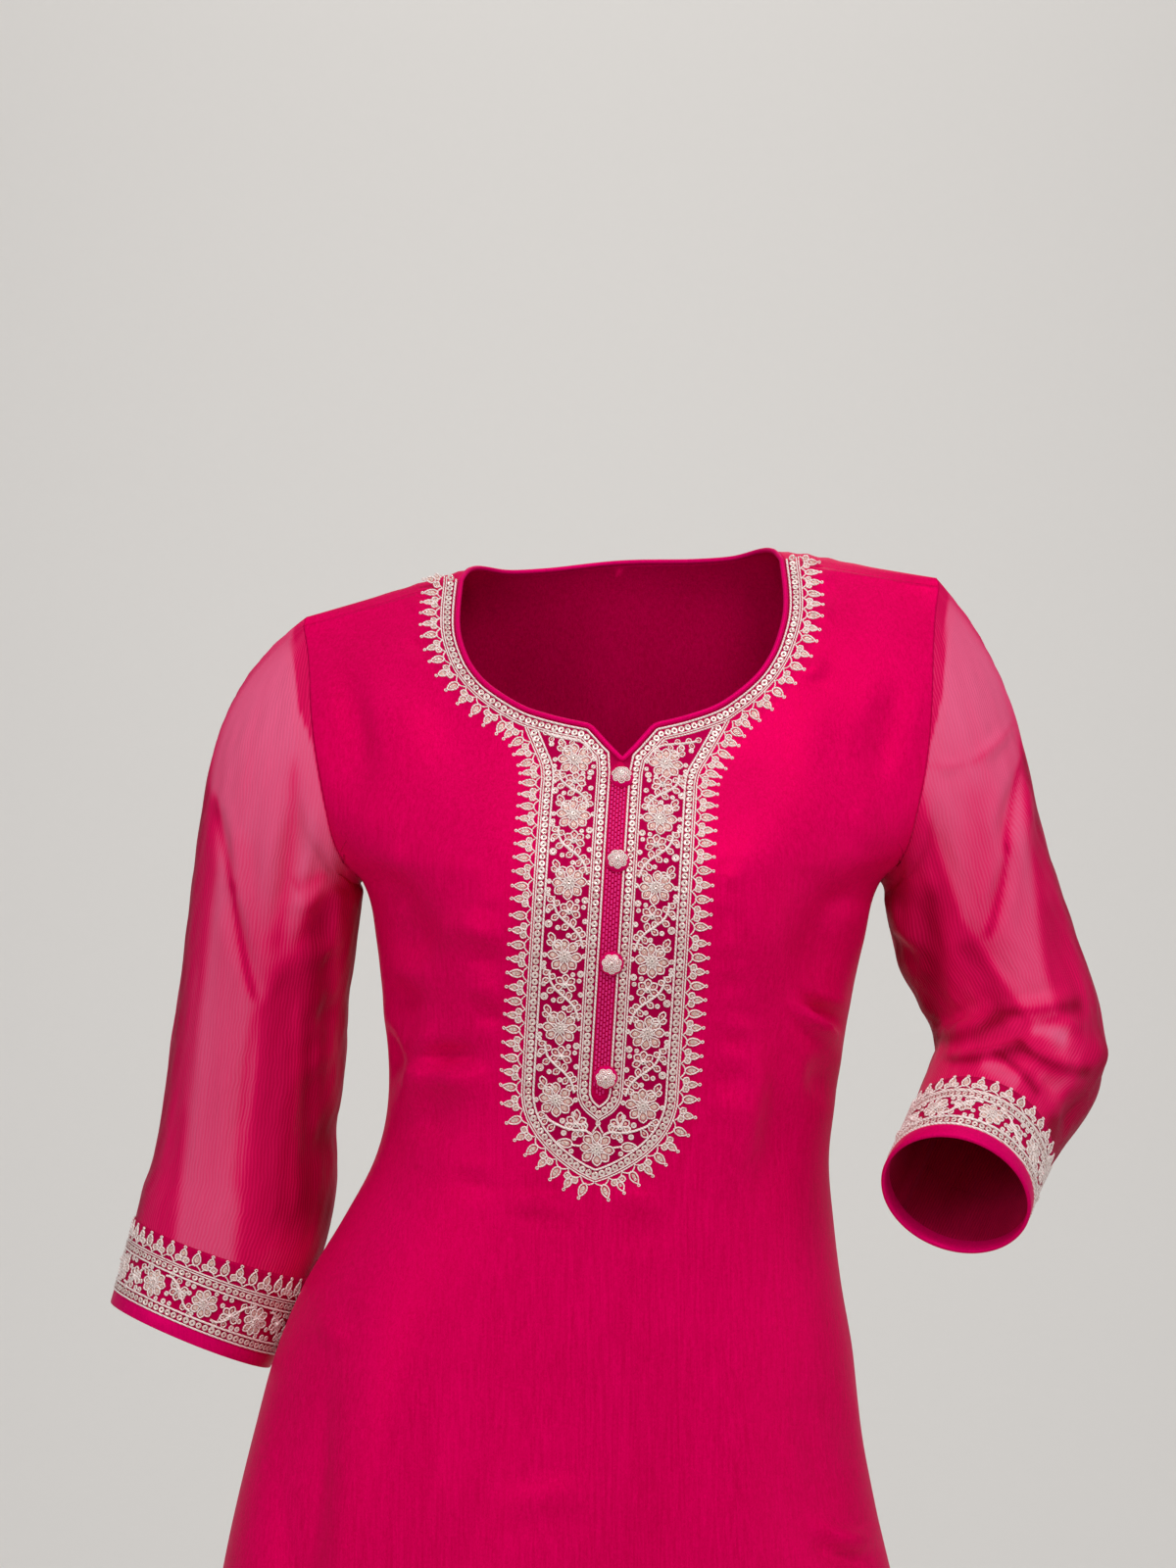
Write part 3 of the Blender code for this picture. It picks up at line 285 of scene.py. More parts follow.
# Deeper bands of folded cloth, partly layered cloth and partly painted shade (minus for paler ones,
# painted light), laid out like the front creases
FOLD_AND_SHADE_BANDS = {
    "right": (
        (-250, -136, -237, -200, 2.4, 0.34, 0), (-238, -190, -224, -268, 2.4, 0.38, -2),
        (-224, -262, -238, -392, 2.6, 0.2, -2), (-232, -160, -214, -262, 10, 0.12, -2),
        (-199, -112, -213, -238, 4.6, 0.26, 3), (-186, -142, -203, -244, 3.4, -0.1, 0),
        (-209, -228, -213, -420, 12, 0.14, 2), (-186, -190, -194, -420, 13, 0.34, 2),
        (-174, -200, -180, -400, 5, -0.2, 0), (-200, -262, -206, -400, 3, -0.14, 2),
        (-188, -270, -191, -350, 3, -0.12, 0), (-262, -240, -270, -340, 3, -0.08, 0),
        (-180, -186, -200, -196, 5, 0.24, 0),
    ),
    "left": (
        (243, -93, 211, -121, 2.0, 0.16, 2), (211, -120, 180, -119, 2.0, 0.1, 2),
        (246, -116, 234, -176, 2.2, 0.34, -2), (236, -166, 222, -228, 2.4, 0.32, 2),
        (253, -140, 262, -260, 4, 0.1, 0), (216, -128, 222, -244, 11, 0.14, 0),
        (182, -128, 204, -216, 4, 0.1, 0), (188, -190, 190, -290, 8, 0.28, 2),
        (172, -190, 182, -260, 10, 0.14, 0), (206, -226, 236, -276, 9, 0.16, 3),
        (186, -290, 236, -271, 5, 0.3, -3), (232, -272, 284, -266, 4, 0.26, 0),
        (248, -281, 272, -288, 4.4, -0.38, 2), (194, -299, 246, -288, 3.4, 0.34, -3),
        (238, -288, 288, -308, 3.4, 0.36, -4), (216, -298, 240, -312, 6, -0.3, 0),
        (224, -293, 252, -320, 2.4, 0.3, 2), (252, -306, 268, -322, 5, -0.14, 0),
        (262, -200, 284, -290, 6, 0.12, -2), (262, -330, 250, -372, 8, 0.2, 0),
        (266, -278, 274, -318, 9, -0.14, 0),
    ),
}
# Level below which the back of the sleeve is painted deeper towards the cuff, partly layered cloth
# and partly painted shade
DEEP_BELOW = {"right": -380.0, "left": -262.0}

# Salwar
WAIST_TOP, WAIST_FOOT, BELT_FOOT = -390.0, -435.0, -560.0
WAIST_INSET, WAIST_COUNT = 2.0, 160  # from the kameez, and points round the casing and belt
ANKLE, PONCHA = -1400.0, 55.0
# Section of the casing: level, and distance in from its face
WAIST_SECTION = (
    (WAIST_TOP - 1, 0.8), (WAIST_TOP, 0.2), (WAIST_TOP - 4, 0.0), (WAIST_TOP - 14, 0.0),
    (WAIST_TOP - 30, 0.0), (WAIST_FOOT + 4, 0.0), (WAIST_FOOT, 0.6), (WAIST_FOOT + 2, 2.2),
    (WAIST_TOP - 20, 2.4), (WAIST_TOP - 2, 2.2),
)
# Section of a poncha, with its rows of stitches: distance above its top edge, and distance in
PONCHA_SECTION = (
    (-0.7, 0.6), (-2.0, 0.0), (-12.0, 0.0), (-13.0, 0.35), (-14.0, 0.0), (-26.0, 0.0),
    (-27.0, 0.35), (-28.0, 0.0), (-40.0, 0.0), (-41.0, 0.35), (-42.0, 0.0), (-53.6, 0.0),
    (-54.7, 0.3), (-55.0, 1.0), (-54.4, 1.7), (-30.0, 1.8), (-1.0, 1.8),
)
# How far in the kameez's creases may go there: levels, and depths
CLOSE_LEVELS = (BELT_FOOT - 60, BELT_FOOT, WAIST_FOOT, WAIST_TOP + 8, -340)
CLOSE_UNDER = (-6.0, -2.2, -1.0, -1.0, -9.0)
LEG_CENTRE, LEG_GAP = -40.0, 2.4
LEG_COUNT = 97  # points along a row of a leg
LEG_LEVELS = [*np.linspace(BELT_FOOT - 0.5, -760, 44), *np.linspace(-767, ANKLE + PONCHA, 80)]
# A leg's section: level, centre, half width, front, back, depth of its pleats
LEG = (
    (-560, 0, 173, -102, 101, 0), (-600, 22, 152, -102, 102, 2), (-640, 50, 127, -101, 101, 4),
    (-680, 76, 104, -99, 98, 6), (-720, 91, 93, -98, 96, 7), (-760, 98, 92, -98, 96, 8),
    (-820, 102, 93, -97, 97, 9), (-900, 105, 90, -94, 96, 9), (-1000, 106, 86, -88, 92, 8),
    (-1100, 106, 80, -80, 87, 7), (-1200, 106, 73, -71, 81, 6), (-1300, 105.5, 66, -61, 74, 4),
    (-1345, 105, 60, -53, 65, 1), (-1400, 105, 58, -51, 63, 0),
)

# Embroidery round the neck, measured outward from the neckline or from the centre line
AXIS_TOP, AXIS_LEAN = -1.2, math.radians(3.4)  # the embroidery's centre line below the notch
EDGE_HALF = 4.2  # the placket's half width that the borders are measured from
INNER_CORD, INNER_SEQUINS, INNER_DOUBLE = 1.9, 5.2, 8.4
# Borders of the flower zone: their half width, and how far their tip is below ZONE_FOOT
ZONE_CORD, ZONE_SEQUINS, ZONE_DOUBLE = (39.6, 45.9), (42.6, 49.1), (45.8, 52.3)
# Their upper end under the neck band: how much farther out they are, and distance down
ZONE_TOP = np.array(((19, -38), (12.5, -23), (6.2, -9), (1.4, 2.5), (0, 12), (0, 20)))
FRINGE_FOOT, FRINGE_TIP = 2.9, 13.4
PLACKET_FOOT = 213.5  # below the notch along the cloth
STITCH_COLUMNS, STITCH_PITCH, STITCH_LONG = (-3.6, -1.8, 0.0, 1.8, 3.6), 3.2, 2.3
ZONE_FOOT = 208.0
FLOWER_ACROSS = 25.9
FLOWER_FIRST, FLOWER_SECOND = -1.0, 38.2
FOOT_FLOWER = 241.2
VINE_REPEATS = 4
# Rows round a cuff, above its hem
CUFF_CORDS, CUFF_SEQUINS, CUFF_DOUBLE, CUFF_VINE = (0.9, 6.8, 25.6), (3.9, 28.6), 31.9, 16.2
CUFF_FLOWER_PITCH = 34.0  # about
# Section of a cuff's folded hem: distance above its top edge, and lift off the sleeve
CUFF_HEM_SECTION = (
    (0.4, -0.6), (0.2, 0.05), (-0.6, 0.2), (-5.0, 0.25), (-10.6, 0.25), (-11.5, 0.1),
    (-12.0, -0.5), (-11.9, -1.4), (-11.2, -2.0), (-5.0, -2.0), (0.3, -1.9),
)
PATH_STEP = 1.3  # between the points of a border's path
SOFTEN = 11  # points over which the fringe's path is averaged
BUTTON_RADIUS, BUTTON_HEIGHT, BUTTON_LIFT, BUTTON_PETALS = 7.2, 5.6, 0.3, 7

# Stage: the floor's level, its half size, and the wall's place, top and bend (in millimetres;
# the camera and the lights are in metres)
STAGE_FLOOR, STAGE_HALF = -1475.0, 36000.0
STAGE_BACK, STAGE_RISE, STAGE_BEND = 8000.0, 8000.0, 3000.0
CAMERA_SPOT, CAMERA_LENS, CAMERA_SENSOR = (-0.0206, -3.0, -0.132), 111.375, 36.0
# Name, place, what it points at, size, share of the key light's strength, tint
LIGHTS = (
    ("key", (0.66, -2.25, 2.1), (-0.02, -0.1, -0.3), 1.0, 1.0, (1.0, 0.985, 0.97)),
    ("fill", (-2.3, -2.5, 0.4), (0.0, -0.05, -0.4), 1.6, 0.48, (1.0, 0.98, 0.97)),
    ("side", (2.6, -0.9, -0.3), (0.1, 0.0, -0.4), 1.2, 0.16, (1.0, 0.99, 0.98)),
    ("top", (0.2, -0.3, 2.4), (0.0, 0.0, -0.3), 1.6, 0.2, (1.0, 1.0, 1.0)),
    ("rear", (0.5, 2.6, 2.3), (0.0, 0.0, -0.5), 1.4, 0.3, (1.0, 1.0, 1.0)),
    ("backdrop", (0.0, 3.8, 3.6), (0.0, 8.0, -0.3), 2.4, 2.9, (1.0, 0.99, 0.98)),
)


# ---- user settings


def length(name, text, default):
    return bpy.props.FloatProperty(
        name=name, description=text, default=default, unit="LENGTH", subtype="DISTANCE", precision=5
    )


def colour(name, text, default):
    return bpy.props.FloatVectorProperty(
        name=name, description=text, default=default, size=3, min=0, max=1, subtype="COLOR"
    )


class SuitSizes(bpy.types.PropertyGroup):
    """Sizes of the trimmings."""

    cord: length("Cord", "Width of one embroidered cord", 0.001)
    sequin: length("Sequin", "Width of a border sequin", 0.0041)
    sequin_pitch: length("Sequin pitch", "From one border sequin to the next", 0.0042)
    flower: length("Flower", "Width of a large flower", 0.0214)
    flower_pitch: length("Flower pitch", "From one large flower to the next", 0.0439)
    fringe_pitch: length("Fringe pitch", "From one leaf of the fringe to the next", 0.0087)
    crease: bpy.props.FloatProperty(
        name="Creases", description="How deep the cloth's creases are", default=1.0, min=0, max=2
    )


class SuitColours(bpy.types.PropertyGroup):
    """Colours of the cloths and threads."""

    crepe: colour("Crepe", "Body cloth", (0.82, 0.0, 0.112))
    crepe_deep: colour("Crepe, deep", "Body cloth between its grains", (0.62, 0.0, 0.07))
    # sheer is painted light: the pale colour of the cloth drawn over the arm
    sheer: colour("Sheer cloth", "Sleeve cloth drawn over the arm", (1.0, 0.15, 0.32))
    sheer_mid: colour("Sheer cloth, mid", "Sleeve cloth hanging free", (0.74, 0.004, 0.1))
    # sheer_deep is partly the layered cloth of the folds and partly painted shade
    sheer_deep: colour("Sheer cloth, deep", "Sleeve cloth in its folds", (0.26, 0.0, 0.018))
    piping: colour("Piping", "Neck piping, cuff hems and buttons", (0.80, 0.0, 0.135))
    stitch: colour("Stitches", "Running stitches on the placket", (0.92, 0.04, 0.28))
    thread: colour("Thread", "Embroidery thread", (1.0, 0.89, 0.85))
    # thread_deep is painted shade in the grooves of the thread's twist
    thread_deep: colour("Thread, deep", "Embroidery thread in its twists", (0.66, 0.37, 0.35))
    # filling is partly the filling stitches' own colour and partly painted shade between the
    # outlines and sequins
    filling: colour("Filling", "Filling stitches inside the petals", (0.84, 0.50, 0.42))
    sequin: colour("Sequins", "Sequins", (0.90, 0.76, 0.70))


class StageSettings(bpy.types.PropertyGroup):
    """The floor and lights."""

    floor: colour("Floor", "Floor and backdrop", (0.74, 0.72, 0.69))
    key: bpy.props.FloatProperty(
        name="Key light", description="Strength of the key light", default=46.5, min=0, unit="POWER"
    )


def sizes():
    return bpy.context.scene.suit_sizes


def colours():
    return bpy.context.scene.suit_colours


# ---- numbers


def smooth(share):
    share = np.clip(share, 0.0, 1.0)
    return share * share * (3 - 2 * share)


def bell(distance):
    return np.cos(np.minimum(1.0, np.abs(distance)) * np.pi / 2) ** 2


def whole_turn(count):
    return np.linspace(0, 2 * np.pi, count, endpoint=False)


def read(table, at):
    """The columns of a table at any levels, on smooth curves through its rows."""
    rows = np.array(table, float)
    levels, values = rows[:, 0], rows[:, 1:]
    at = np.clip(np.asarray(at, float), levels[-1], levels[0])
    k = np.clip(np.searchsorted(-levels, -at) - 1, 0, len(levels) - 2)
    low = np.maximum(np.arange(len(levels)) - 1, 0)
    high = np.minimum(np.arange(len(levels)) + 1, len(levels) - 1)
    slopes = (values[high] - values[low]) / (levels[high] - levels[low])[:, None]
    span = (levels[k + 1] - levels[k])[..., None]
    t = (at - levels[k])[..., None] / span
    return (
        values[k] * (2 * t**3 - 3 * t**2 + 1)
        + slopes[k] * span * (t**3 - 2 * t**2 + t)
        + values[k + 1] * (3 * t**2 - 2 * t**3)
        + slopes[k + 1] * span * (t**3 - t**2)
    )


def through(values, at):
    """A smooth curve through rows of values, read at fractional rows."""
    values = np.array(values, float)
    at = np.asarray(at, float)
    last = len(values) - 1
    k = np.clip(np.floor(at).astype(int), 0, last - 1)
    t = (at - k)[..., None]
    p0, p1 = values[np.maximum(k - 1, 0)], values[k]
    p2, p3 = values[k + 1], values[np.minimum(k + 2, last)]
    return 0.5 * (
        2 * p1
        + (p2 - p0) * t
        + (2 * p0 - 5 * p1 + 4 * p2 - p3) * t**2
        + (3 * p1 - p0 - 3 * p2 + p3) * t**3
    )


def unit(vectors):
    return vectors / np.maximum(np.linalg.norm(vectors, axis=-1, keepdims=True), 1e-9)


def steps(path):
    """Distances from each point of a path to the next."""
    return np.linalg.norm(np.diff(path, axis=0), axis=1)


def gaps(points, others):
    """Distances from every one of the points to every one of the others."""
    return np.linalg.norm(points[:, None] - others[None, :], axis=2)


def ripple(q, share):
    """The section of a soft crease, with shallow troughs on both sides of its ridge."""
    side = 0.35 * np.exp(-((q - 1.7) ** 2)) + 0.25 * np.exp(-((q + 1.9) ** 2))
    return (np.exp(-(q**2)) - side) * bell(2 * share - 1)


def streak(q, share):
    """The section of a band of gathered cloth, with soft ends."""
    return np.exp(-(q**2)) * smooth(share / 0.16 + 0.2) * smooth((1 - share) / 0.16 + 0.2)


def folds(x, z, table, profile):
    """Sum of the soft bands that run from one place of the front view to another."""
    total = np.zeros(np.broadcast(x, z).shape)
    for x0, z0, x1, z1, wide, much, bow in table:
        long = math.hypot(x1 - x0, z1 - z0)
        dx, dz = (x1 - x0) / long, (z1 - z0) / long
        share = ((x - x0) * dx + (z - z0) * dz) / long
        across = (x - x0) * -dz + (z - z0) * dx - bow * (1 - (2 * share - 1) ** 2)
        total = total + much * profile(across / (wide * (0.8 + 0.5 * np.clip(share, 0, 1))), share)
    return total


def crease_rise(x, z, table):
    """Rise of the cloth's creases, deeper where the skirt hangs free."""
    deeper = 1 + DEEPER_BY * smooth((DEEPER_BELOW - z) / DEEPER_WITHIN)
    return folds(x, z, table, ripple) * CREASE_DEPTH * sizes().crease * deeper


# ---- torso form


def stance(x, z):
    return z + STANCE_TILT * x * smooth((z - STANCE_ENDS) / STANCE_FADE)


def shoulder_drop(x, level):
    slope = SHOULDER_SLOPE * smooth((level - SLOPE_ENDS) / -SLOPE_ENDS)
    return slope * (np.hypot(x, NECK_ROUNDING) - SIDE_NECK)


def half_width(form, side):
    return np.where(side > 0, form[..., 1] - form[..., 2], form[..., 0] + form[..., 2])


def around(x, level):
    form = read(FORM, level)
    return (x - form[..., 2]) / half_width(form, np.where(x >= form[..., 2], 1, -1))


def flute_rise(flutes, sine, level):
    grown = smooth((FLUTES_START - level) / (KAMEEZ_LENGTH + FLUTES_START))
    return grown * sum(rise * bell((sine - at) / wide) for at, wide, rise in flutes)


def slit_share(level):
    return smooth((SLIT_TOP - level) / (KAMEEZ_LENGTH + SLIT_TOP))


def torso(level, sine, panel):
    """Points of the plain form of the front (-1) or back (1) panel."""
    level, sine = np.broadcast_arrays(np.asarray(level, float), np.asarray(sine, float))
    sine = np.clip(sine, -1.0, 1.0)
    form = read(FORM, level)
    x = form[..., 2] + half_width(form, sine) * sine
    cosine = np.sqrt(np.maximum(0.0, 1 - sine * sine))
    if panel < 0:
        row = read(FRONT, level)
        height = level
        bust = bell((level - BUST_LEVEL) / BUST_HIGH / 1.6) * BUST_RISE
        depth = row[..., 0] - flute_rise(FRONT_FLUTES, sine, level)
        bulge = -bust * bell((np.abs(x) - BUST_X) / BUST_WIDE / 1.5)
    else:
        row = read(BACK, level)
        height = row[..., 2]
        depth = row[..., 0] + flute_rise(BACK_FLUTES, sine, level)
        bulge = 0.0
    y = form[..., 3] + (depth - form[..., 3]) * cosine ** row[..., 1]
    y = y + bulge * cosine + panel * (SEAM / 2 + slit_share(level) * SLIT_SPREAD)
    return np.stack([x, y, stance(x, height - shoulder_drop(x, level))], -1)


def hem_roll(level, sine):
    """The slight rise of the turned hem, and the line of its stitches."""
    hem = smooth((-KAMEEZ_LENGTH + HEM_TURN - level) / 3) * 0.5
    stitch = -0.5 * bell((level + KAMEEZ_LENGTH - HEM_TURN) / 2.5)
    edge = smooth((np.abs(sine) - 0.985) / 0.01) * slit_share(level - 60) * 0.4
    return hem + stitch + edge


def seam_dip(level, sine):
    """Cloth drawn in along the side seams above the slits."""
    near = smooth((np.abs(sine) - 0.9975) / 0.0025)
    return -0.7 * near * smooth((level - SLIT_TOP) / 20) * smooth((-196 - level) / 14)


def shoulder_puckers(x, level):
    """Small gathers where the back is eased into the shoulder seam, next to the neck."""
    fade = bell((level + 2) / 31)
    return fade * sum(rise * np.exp(-(((x - at) / wide) ** 2)) for at, wide, rise in PUCKERS)


def body_cloth(level, sine, panel):
    """Points of a panel's face with its creases."""
    flat = torso(level, sine, panel)
    level, sine = np.broadcast_arrays(np.asarray(level, float), np.asarray(sine, float))
    sine = np.clip(sine, -1, 1)
    cosine = np.sqrt(np.maximum(0.0, 1 - sine * sine))
    table = FRONT_CREASES if panel < 0 else BACK_CREASES
    rise = crease_rise(flat[..., 0], flat[..., 2], table)
    rise = rise * smooth((1 - np.abs(sine)) / 0.03 + 0.15)
    # the casing and the belt lie close under the cloth
    floor = np.interp(level, CLOSE_LEVELS, CLOSE_UNDER)
    rise = floor + np.logaddexp(0, (rise - floor) * 3) / 3
    rise = rise + hem_roll(level, sine) + seam_dip(level, sine)
    up = np.zeros_like(sine)
    if panel > 0:
        rise = rise + shoulder_puckers(flat[..., 0], level)
        up = 2.0 * smooth((level + 25) / 45)
    outward = unit(np.stack([sine * 0.8, panel * cosine, up], -1))
    return flat + outward * rise[..., None]


def neckline_rows(table, first, at):
    """Neckline ends of the fine rows: smooth up to the first corner, straight after it."""
    ends = np.array([row[:2] for row in table], float)
    made = np.zeros((len(at), 2))
    before = at <= first
    run = ends[: first + 1]
    if ends[first][0] == 0:  # carried smoothly across the centre
        run = np.vstack([run, ends[first - 1] * (-1, 1)])
    made[before] = through(run, at[before])
    made[before & (at == first)] = ends[first]
    k = np.clip(np.floor(at[~before]).astype(int), 0, len(table) - 2)
    t = (at[~before] - k)[:, None]
    made[~before] = ends[k] * (1 - t) + ends[k + 1] * t
    return made


def panel_spans(panel, side):
    """Each fine row as its inner sine and level, and its outer sine and level."""
    table = FRONT_ROWS if panel < 0 else BACK_ROWS
    corner = V_CORNER if panel < 0 else BACK_CENTRE
    at = np.arange(NOTCH * ROW_PARTS + 1) / ROW_PARTS
    inner = neckline_rows(table, corner, at)
    outer = through([row[2:] for row in table], at)
    start = np.where(inner[:, 0] > 1e-6, around(side * inner[:, 0], inner[:, 1]), 0.0)
    turn = np.arcsin(np.clip(around(side * outer[:, 0], outer[:, 1]), -1, 1))
    under = at >= NOTCH - 1  # an even run down to the side seam
    turn[under] = turn[under][0] + (side * math.pi / 2 - turn[under][0]) * (at[under] - NOTCH + 1)
    upper = np.stack([start, inner[:, 1], np.sin(turn), outer[:, 1]], -1)
    centre = FRONT_CENTRE_LEVELS if panel < 0 else BACK_CENTRE_LEVELS
    at = np.arange(1, (len(centre) - 1) * LOWER_PARTS + 1) / LOWER_PARTS
    levels = through(list(zip(centre, SIDE_LEVELS)), at)
    levels = np.vstack([levels, np.stack([SKIRT_LEVELS, SKIRT_LEVELS], -1)])
    lower = np.stack([levels[:, 0] * 0, levels[:, 0], levels[:, 0] * 0 + side, levels[:, 1]], -1)
    return np.vstack([upper, lower])


def half_panel(panel, side):
    """Points of one half of a panel, in rows from the neckline or centre line outward."""
    spans = panel_spans(panel, side)
    first, last = np.arcsin(np.clip(spans[:, 0], -1, 1)), np.arcsin(np.clip(spans[:, 2], -1, 1))
    t = np.linspace(0, 1, COLUMNS + 1)[None, :]
    level = spans[:, 1:2] + (spans[:, 3:4] - spans[:, 1:2]) * t
    sine = np.sin(first[:, None] + (last - first)[:, None] * t)
    return body_cloth(level, sine, panel)


# ---- meshes


def add_mesh(name, points, faces, material):
    """An object from points in millimetres."""
    mesh = bpy.data.meshes.new(name)
    mesh.from_pydata((np.asarray(points) * MM).tolist(), [], faces)
    mesh.materials.append(material)
    mesh.update()
    mesh.shade_smooth()
    made = bpy.data.objects.new(name, mesh)
    bpy.context.scene.collection.objects.link(made)
    return made


def grid_faces(rows, columns, start=0, closed=False, flip=False):
    count = columns if closed else columns - 1
    r, c = np.meshgrid(np.arange(rows - 1), np.arange(count), indexing="ij")
    n = (c + 1) % columns
    corners = [r * columns + c, (r + 1) * columns + c, (r + 1) * columns + n, r * columns + n]
    faces = np.stack(corners[::-1] if flip else corners, -1).reshape(-1, 4) + start
    return faces.tolist()


def tube_mesh(name, rings, material, flip=False):
    """A sheet made of closed rings of points."""
    rings = np.asarray(rings)
    faces = grid_faces(rings.shape[0], rings.shape[1], closed=True, flip=flip)
    return add_mesh(name, rings.reshape(-1, 3), faces, material)


def mark(mesh, name, values, kind="FLOAT"):
    """Keep a value at each point of a mesh, for its finish."""
    made = mesh.attributes.new(name, kind, "POINT")
    key = "value" if kind == "FLOAT" else "vector"
    made.data.foreach_set(key, values.ravel().astype(np.float32))


def thicken(piece, wall):
    """A wall of cloth under the face."""
    modifier = piece.modifiers.new("wall", "SOLIDIFY")
    modifier.thickness = wall * MM
    modifier.offset = -1.0
    modifier.use_even_offset = False
    return piece


def weld(piece):
    modifier = piece.modifiers.new("weld", "WELD")
    modifier.merge_threshold = WELD_WITHIN * MM
    return piece


def place(piece, slot, *nodes):
    """Fix a piece to the suit and let it stand for its plain solids."""
    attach(piece, "root")
    if nodes:
        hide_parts(*nodes)


# ---- finishes


def toned(tint, share):
    return tuple(channel * share for channel in tint)


def wire(tree, made, values):
    """Set a node's inputs, or link each one whose value is an output of another node."""
    for key, value in values.items():
        if isinstance(value, bpy.types.NodeSocket):
            tree.links.new(value, made.inputs[key])
        else:
            made.inputs[key].default_value = value


def node(tree, kind, values, **settings):
    made = tree.nodes.new(kind)
    for key, value in settings.items():
        setattr(made, key, value)
    wire(tree, made, values)
    return made


def new_finish(name, base, roughness, specular):
    made = bpy.data.materials.new(name)
    made.use_nodes = True
    shader = made.node_tree.nodes["Principled BSDF"]
    values = {"Base Color": (*base, 1.0), "Roughness": roughness, "Specular IOR Level": specular}
    wire(made.node_tree, shader, values)
    return made, made.node_tree, shader


def stretched(tree, scale, source=None):
    """Object coordinates or other ones, stretched."""
    source = source or node(tree, "ShaderNodeTexCoord", {}).outputs["Object"]
    return node(tree, "ShaderNodeMapping", {"Vector": source, "Scale": scale}).outputs["Vector"]


def noise(tree, vector, scale, detail=2.0, roughness=0.5, distortion=0.0):
    values = {"Vector": vector, "Scale": scale, "Detail": detail, "Roughness": roughness}
    values["Distortion"] = distortion
    return node(tree, "ShaderNodeTexNoise", values).outputs["Fac"]


def waves(tree, vector, scale, distortion, direction, detail_scale=1.0):
    values = {"Vector": vector, "Scale": scale, "Distortion": distortion}
    values |= {"Detail": 1.0, "Detail Scale": detail_scale}
    return node(tree, "ShaderNodeTexWave", values, bands_direction=direction).outputs["Fac"]


def ranged(tree, value, low, high, to_low, to_high):
    values = {"Value": value, "From Min": low, "From Max": high}
    values |= {"To Min": to_low, "To Max": to_high}
    return node(tree, "ShaderNodeMapRange", values).outputs["Result"]


def blend_colour(tree, factor, low, high):
    low, high = (v if isinstance(v, bpy.types.NodeSocket) else (*v, 1.0) for v in (low, high))
    values = {MIX_FACTOR: factor, MIX_LOW: low, MIX_HIGH: high}
    return node(tree, "ShaderNodeMix", values, data_type="RGBA").outputs[MIX_RESULT]


def added(tree, first, second):
    return node(tree, "ShaderNodeMath", {0: first, 1: second}, operation="ADD").outputs[0]


def bump(tree, shader, height, strength, distance):
    values = {"Height": height, "Strength": strength, "Distance": distance}
    wire(tree, shader, {"Normal": node(tree, "ShaderNodeBump", values).outputs["Normal"]})


def crepe_finish(name, light, deep, roughness=0.48, sheen=0.05):
    """Satin crepe: fine upright grain, a pebbled face and a soft sheen."""
    made, tree, shader = new_finish(name, light, roughness, 0.06)
    grain = noise(tree, stretched(tree, (700, 700, 30)), 1.0, 3.0, 0.62)
    broad = ranged(tree, noise(tree, stretched(tree, (26, 26, 12)), 1.0), 0, 1, 0.3, 0.7)
    pebble = noise(tree, stretched(tree, (1, 1, 0.6)), 620.0, 2.0, 0.6, 1.6)
    tint = ranged(tree, added(tree, added(tree, grain, broad), pebble), 1.2, 1.8, 0.0, 1.0)
    plain_cloth = blend_colour(tree, tint, deep, light)
    # painted shade: the cloth between the embroidery's stitches is darkened towards half its colour
    painted_stitch_shade = node(tree, "ShaderNodeAttribute", {}, attribute_name="painted_stitch_shade").outputs["Fac"]
    values = {
        "Base Color": blend_colour(tree, painted_stitch_shade, plain_cloth, toned(light, 0.5)),
        "Roughness": ranged(tree, grain, 0.3, 0.7, roughness - 0.08, roughness + 0.08),
        "Metallic": 0.17,
        "Specular Tint": (1.0, 0.07, 0.34, 1.0),
        "Sheen Weight": sheen,
        "Sheen Roughness": 0.4,
        "Sheen Tint": (1.0, 0.08, 0.34, 1.0),
    }
    wire(tree, shader, values)
    bump(tree, shader, added(tree, grain, pebble), 0.4, 0.00035)
    return made


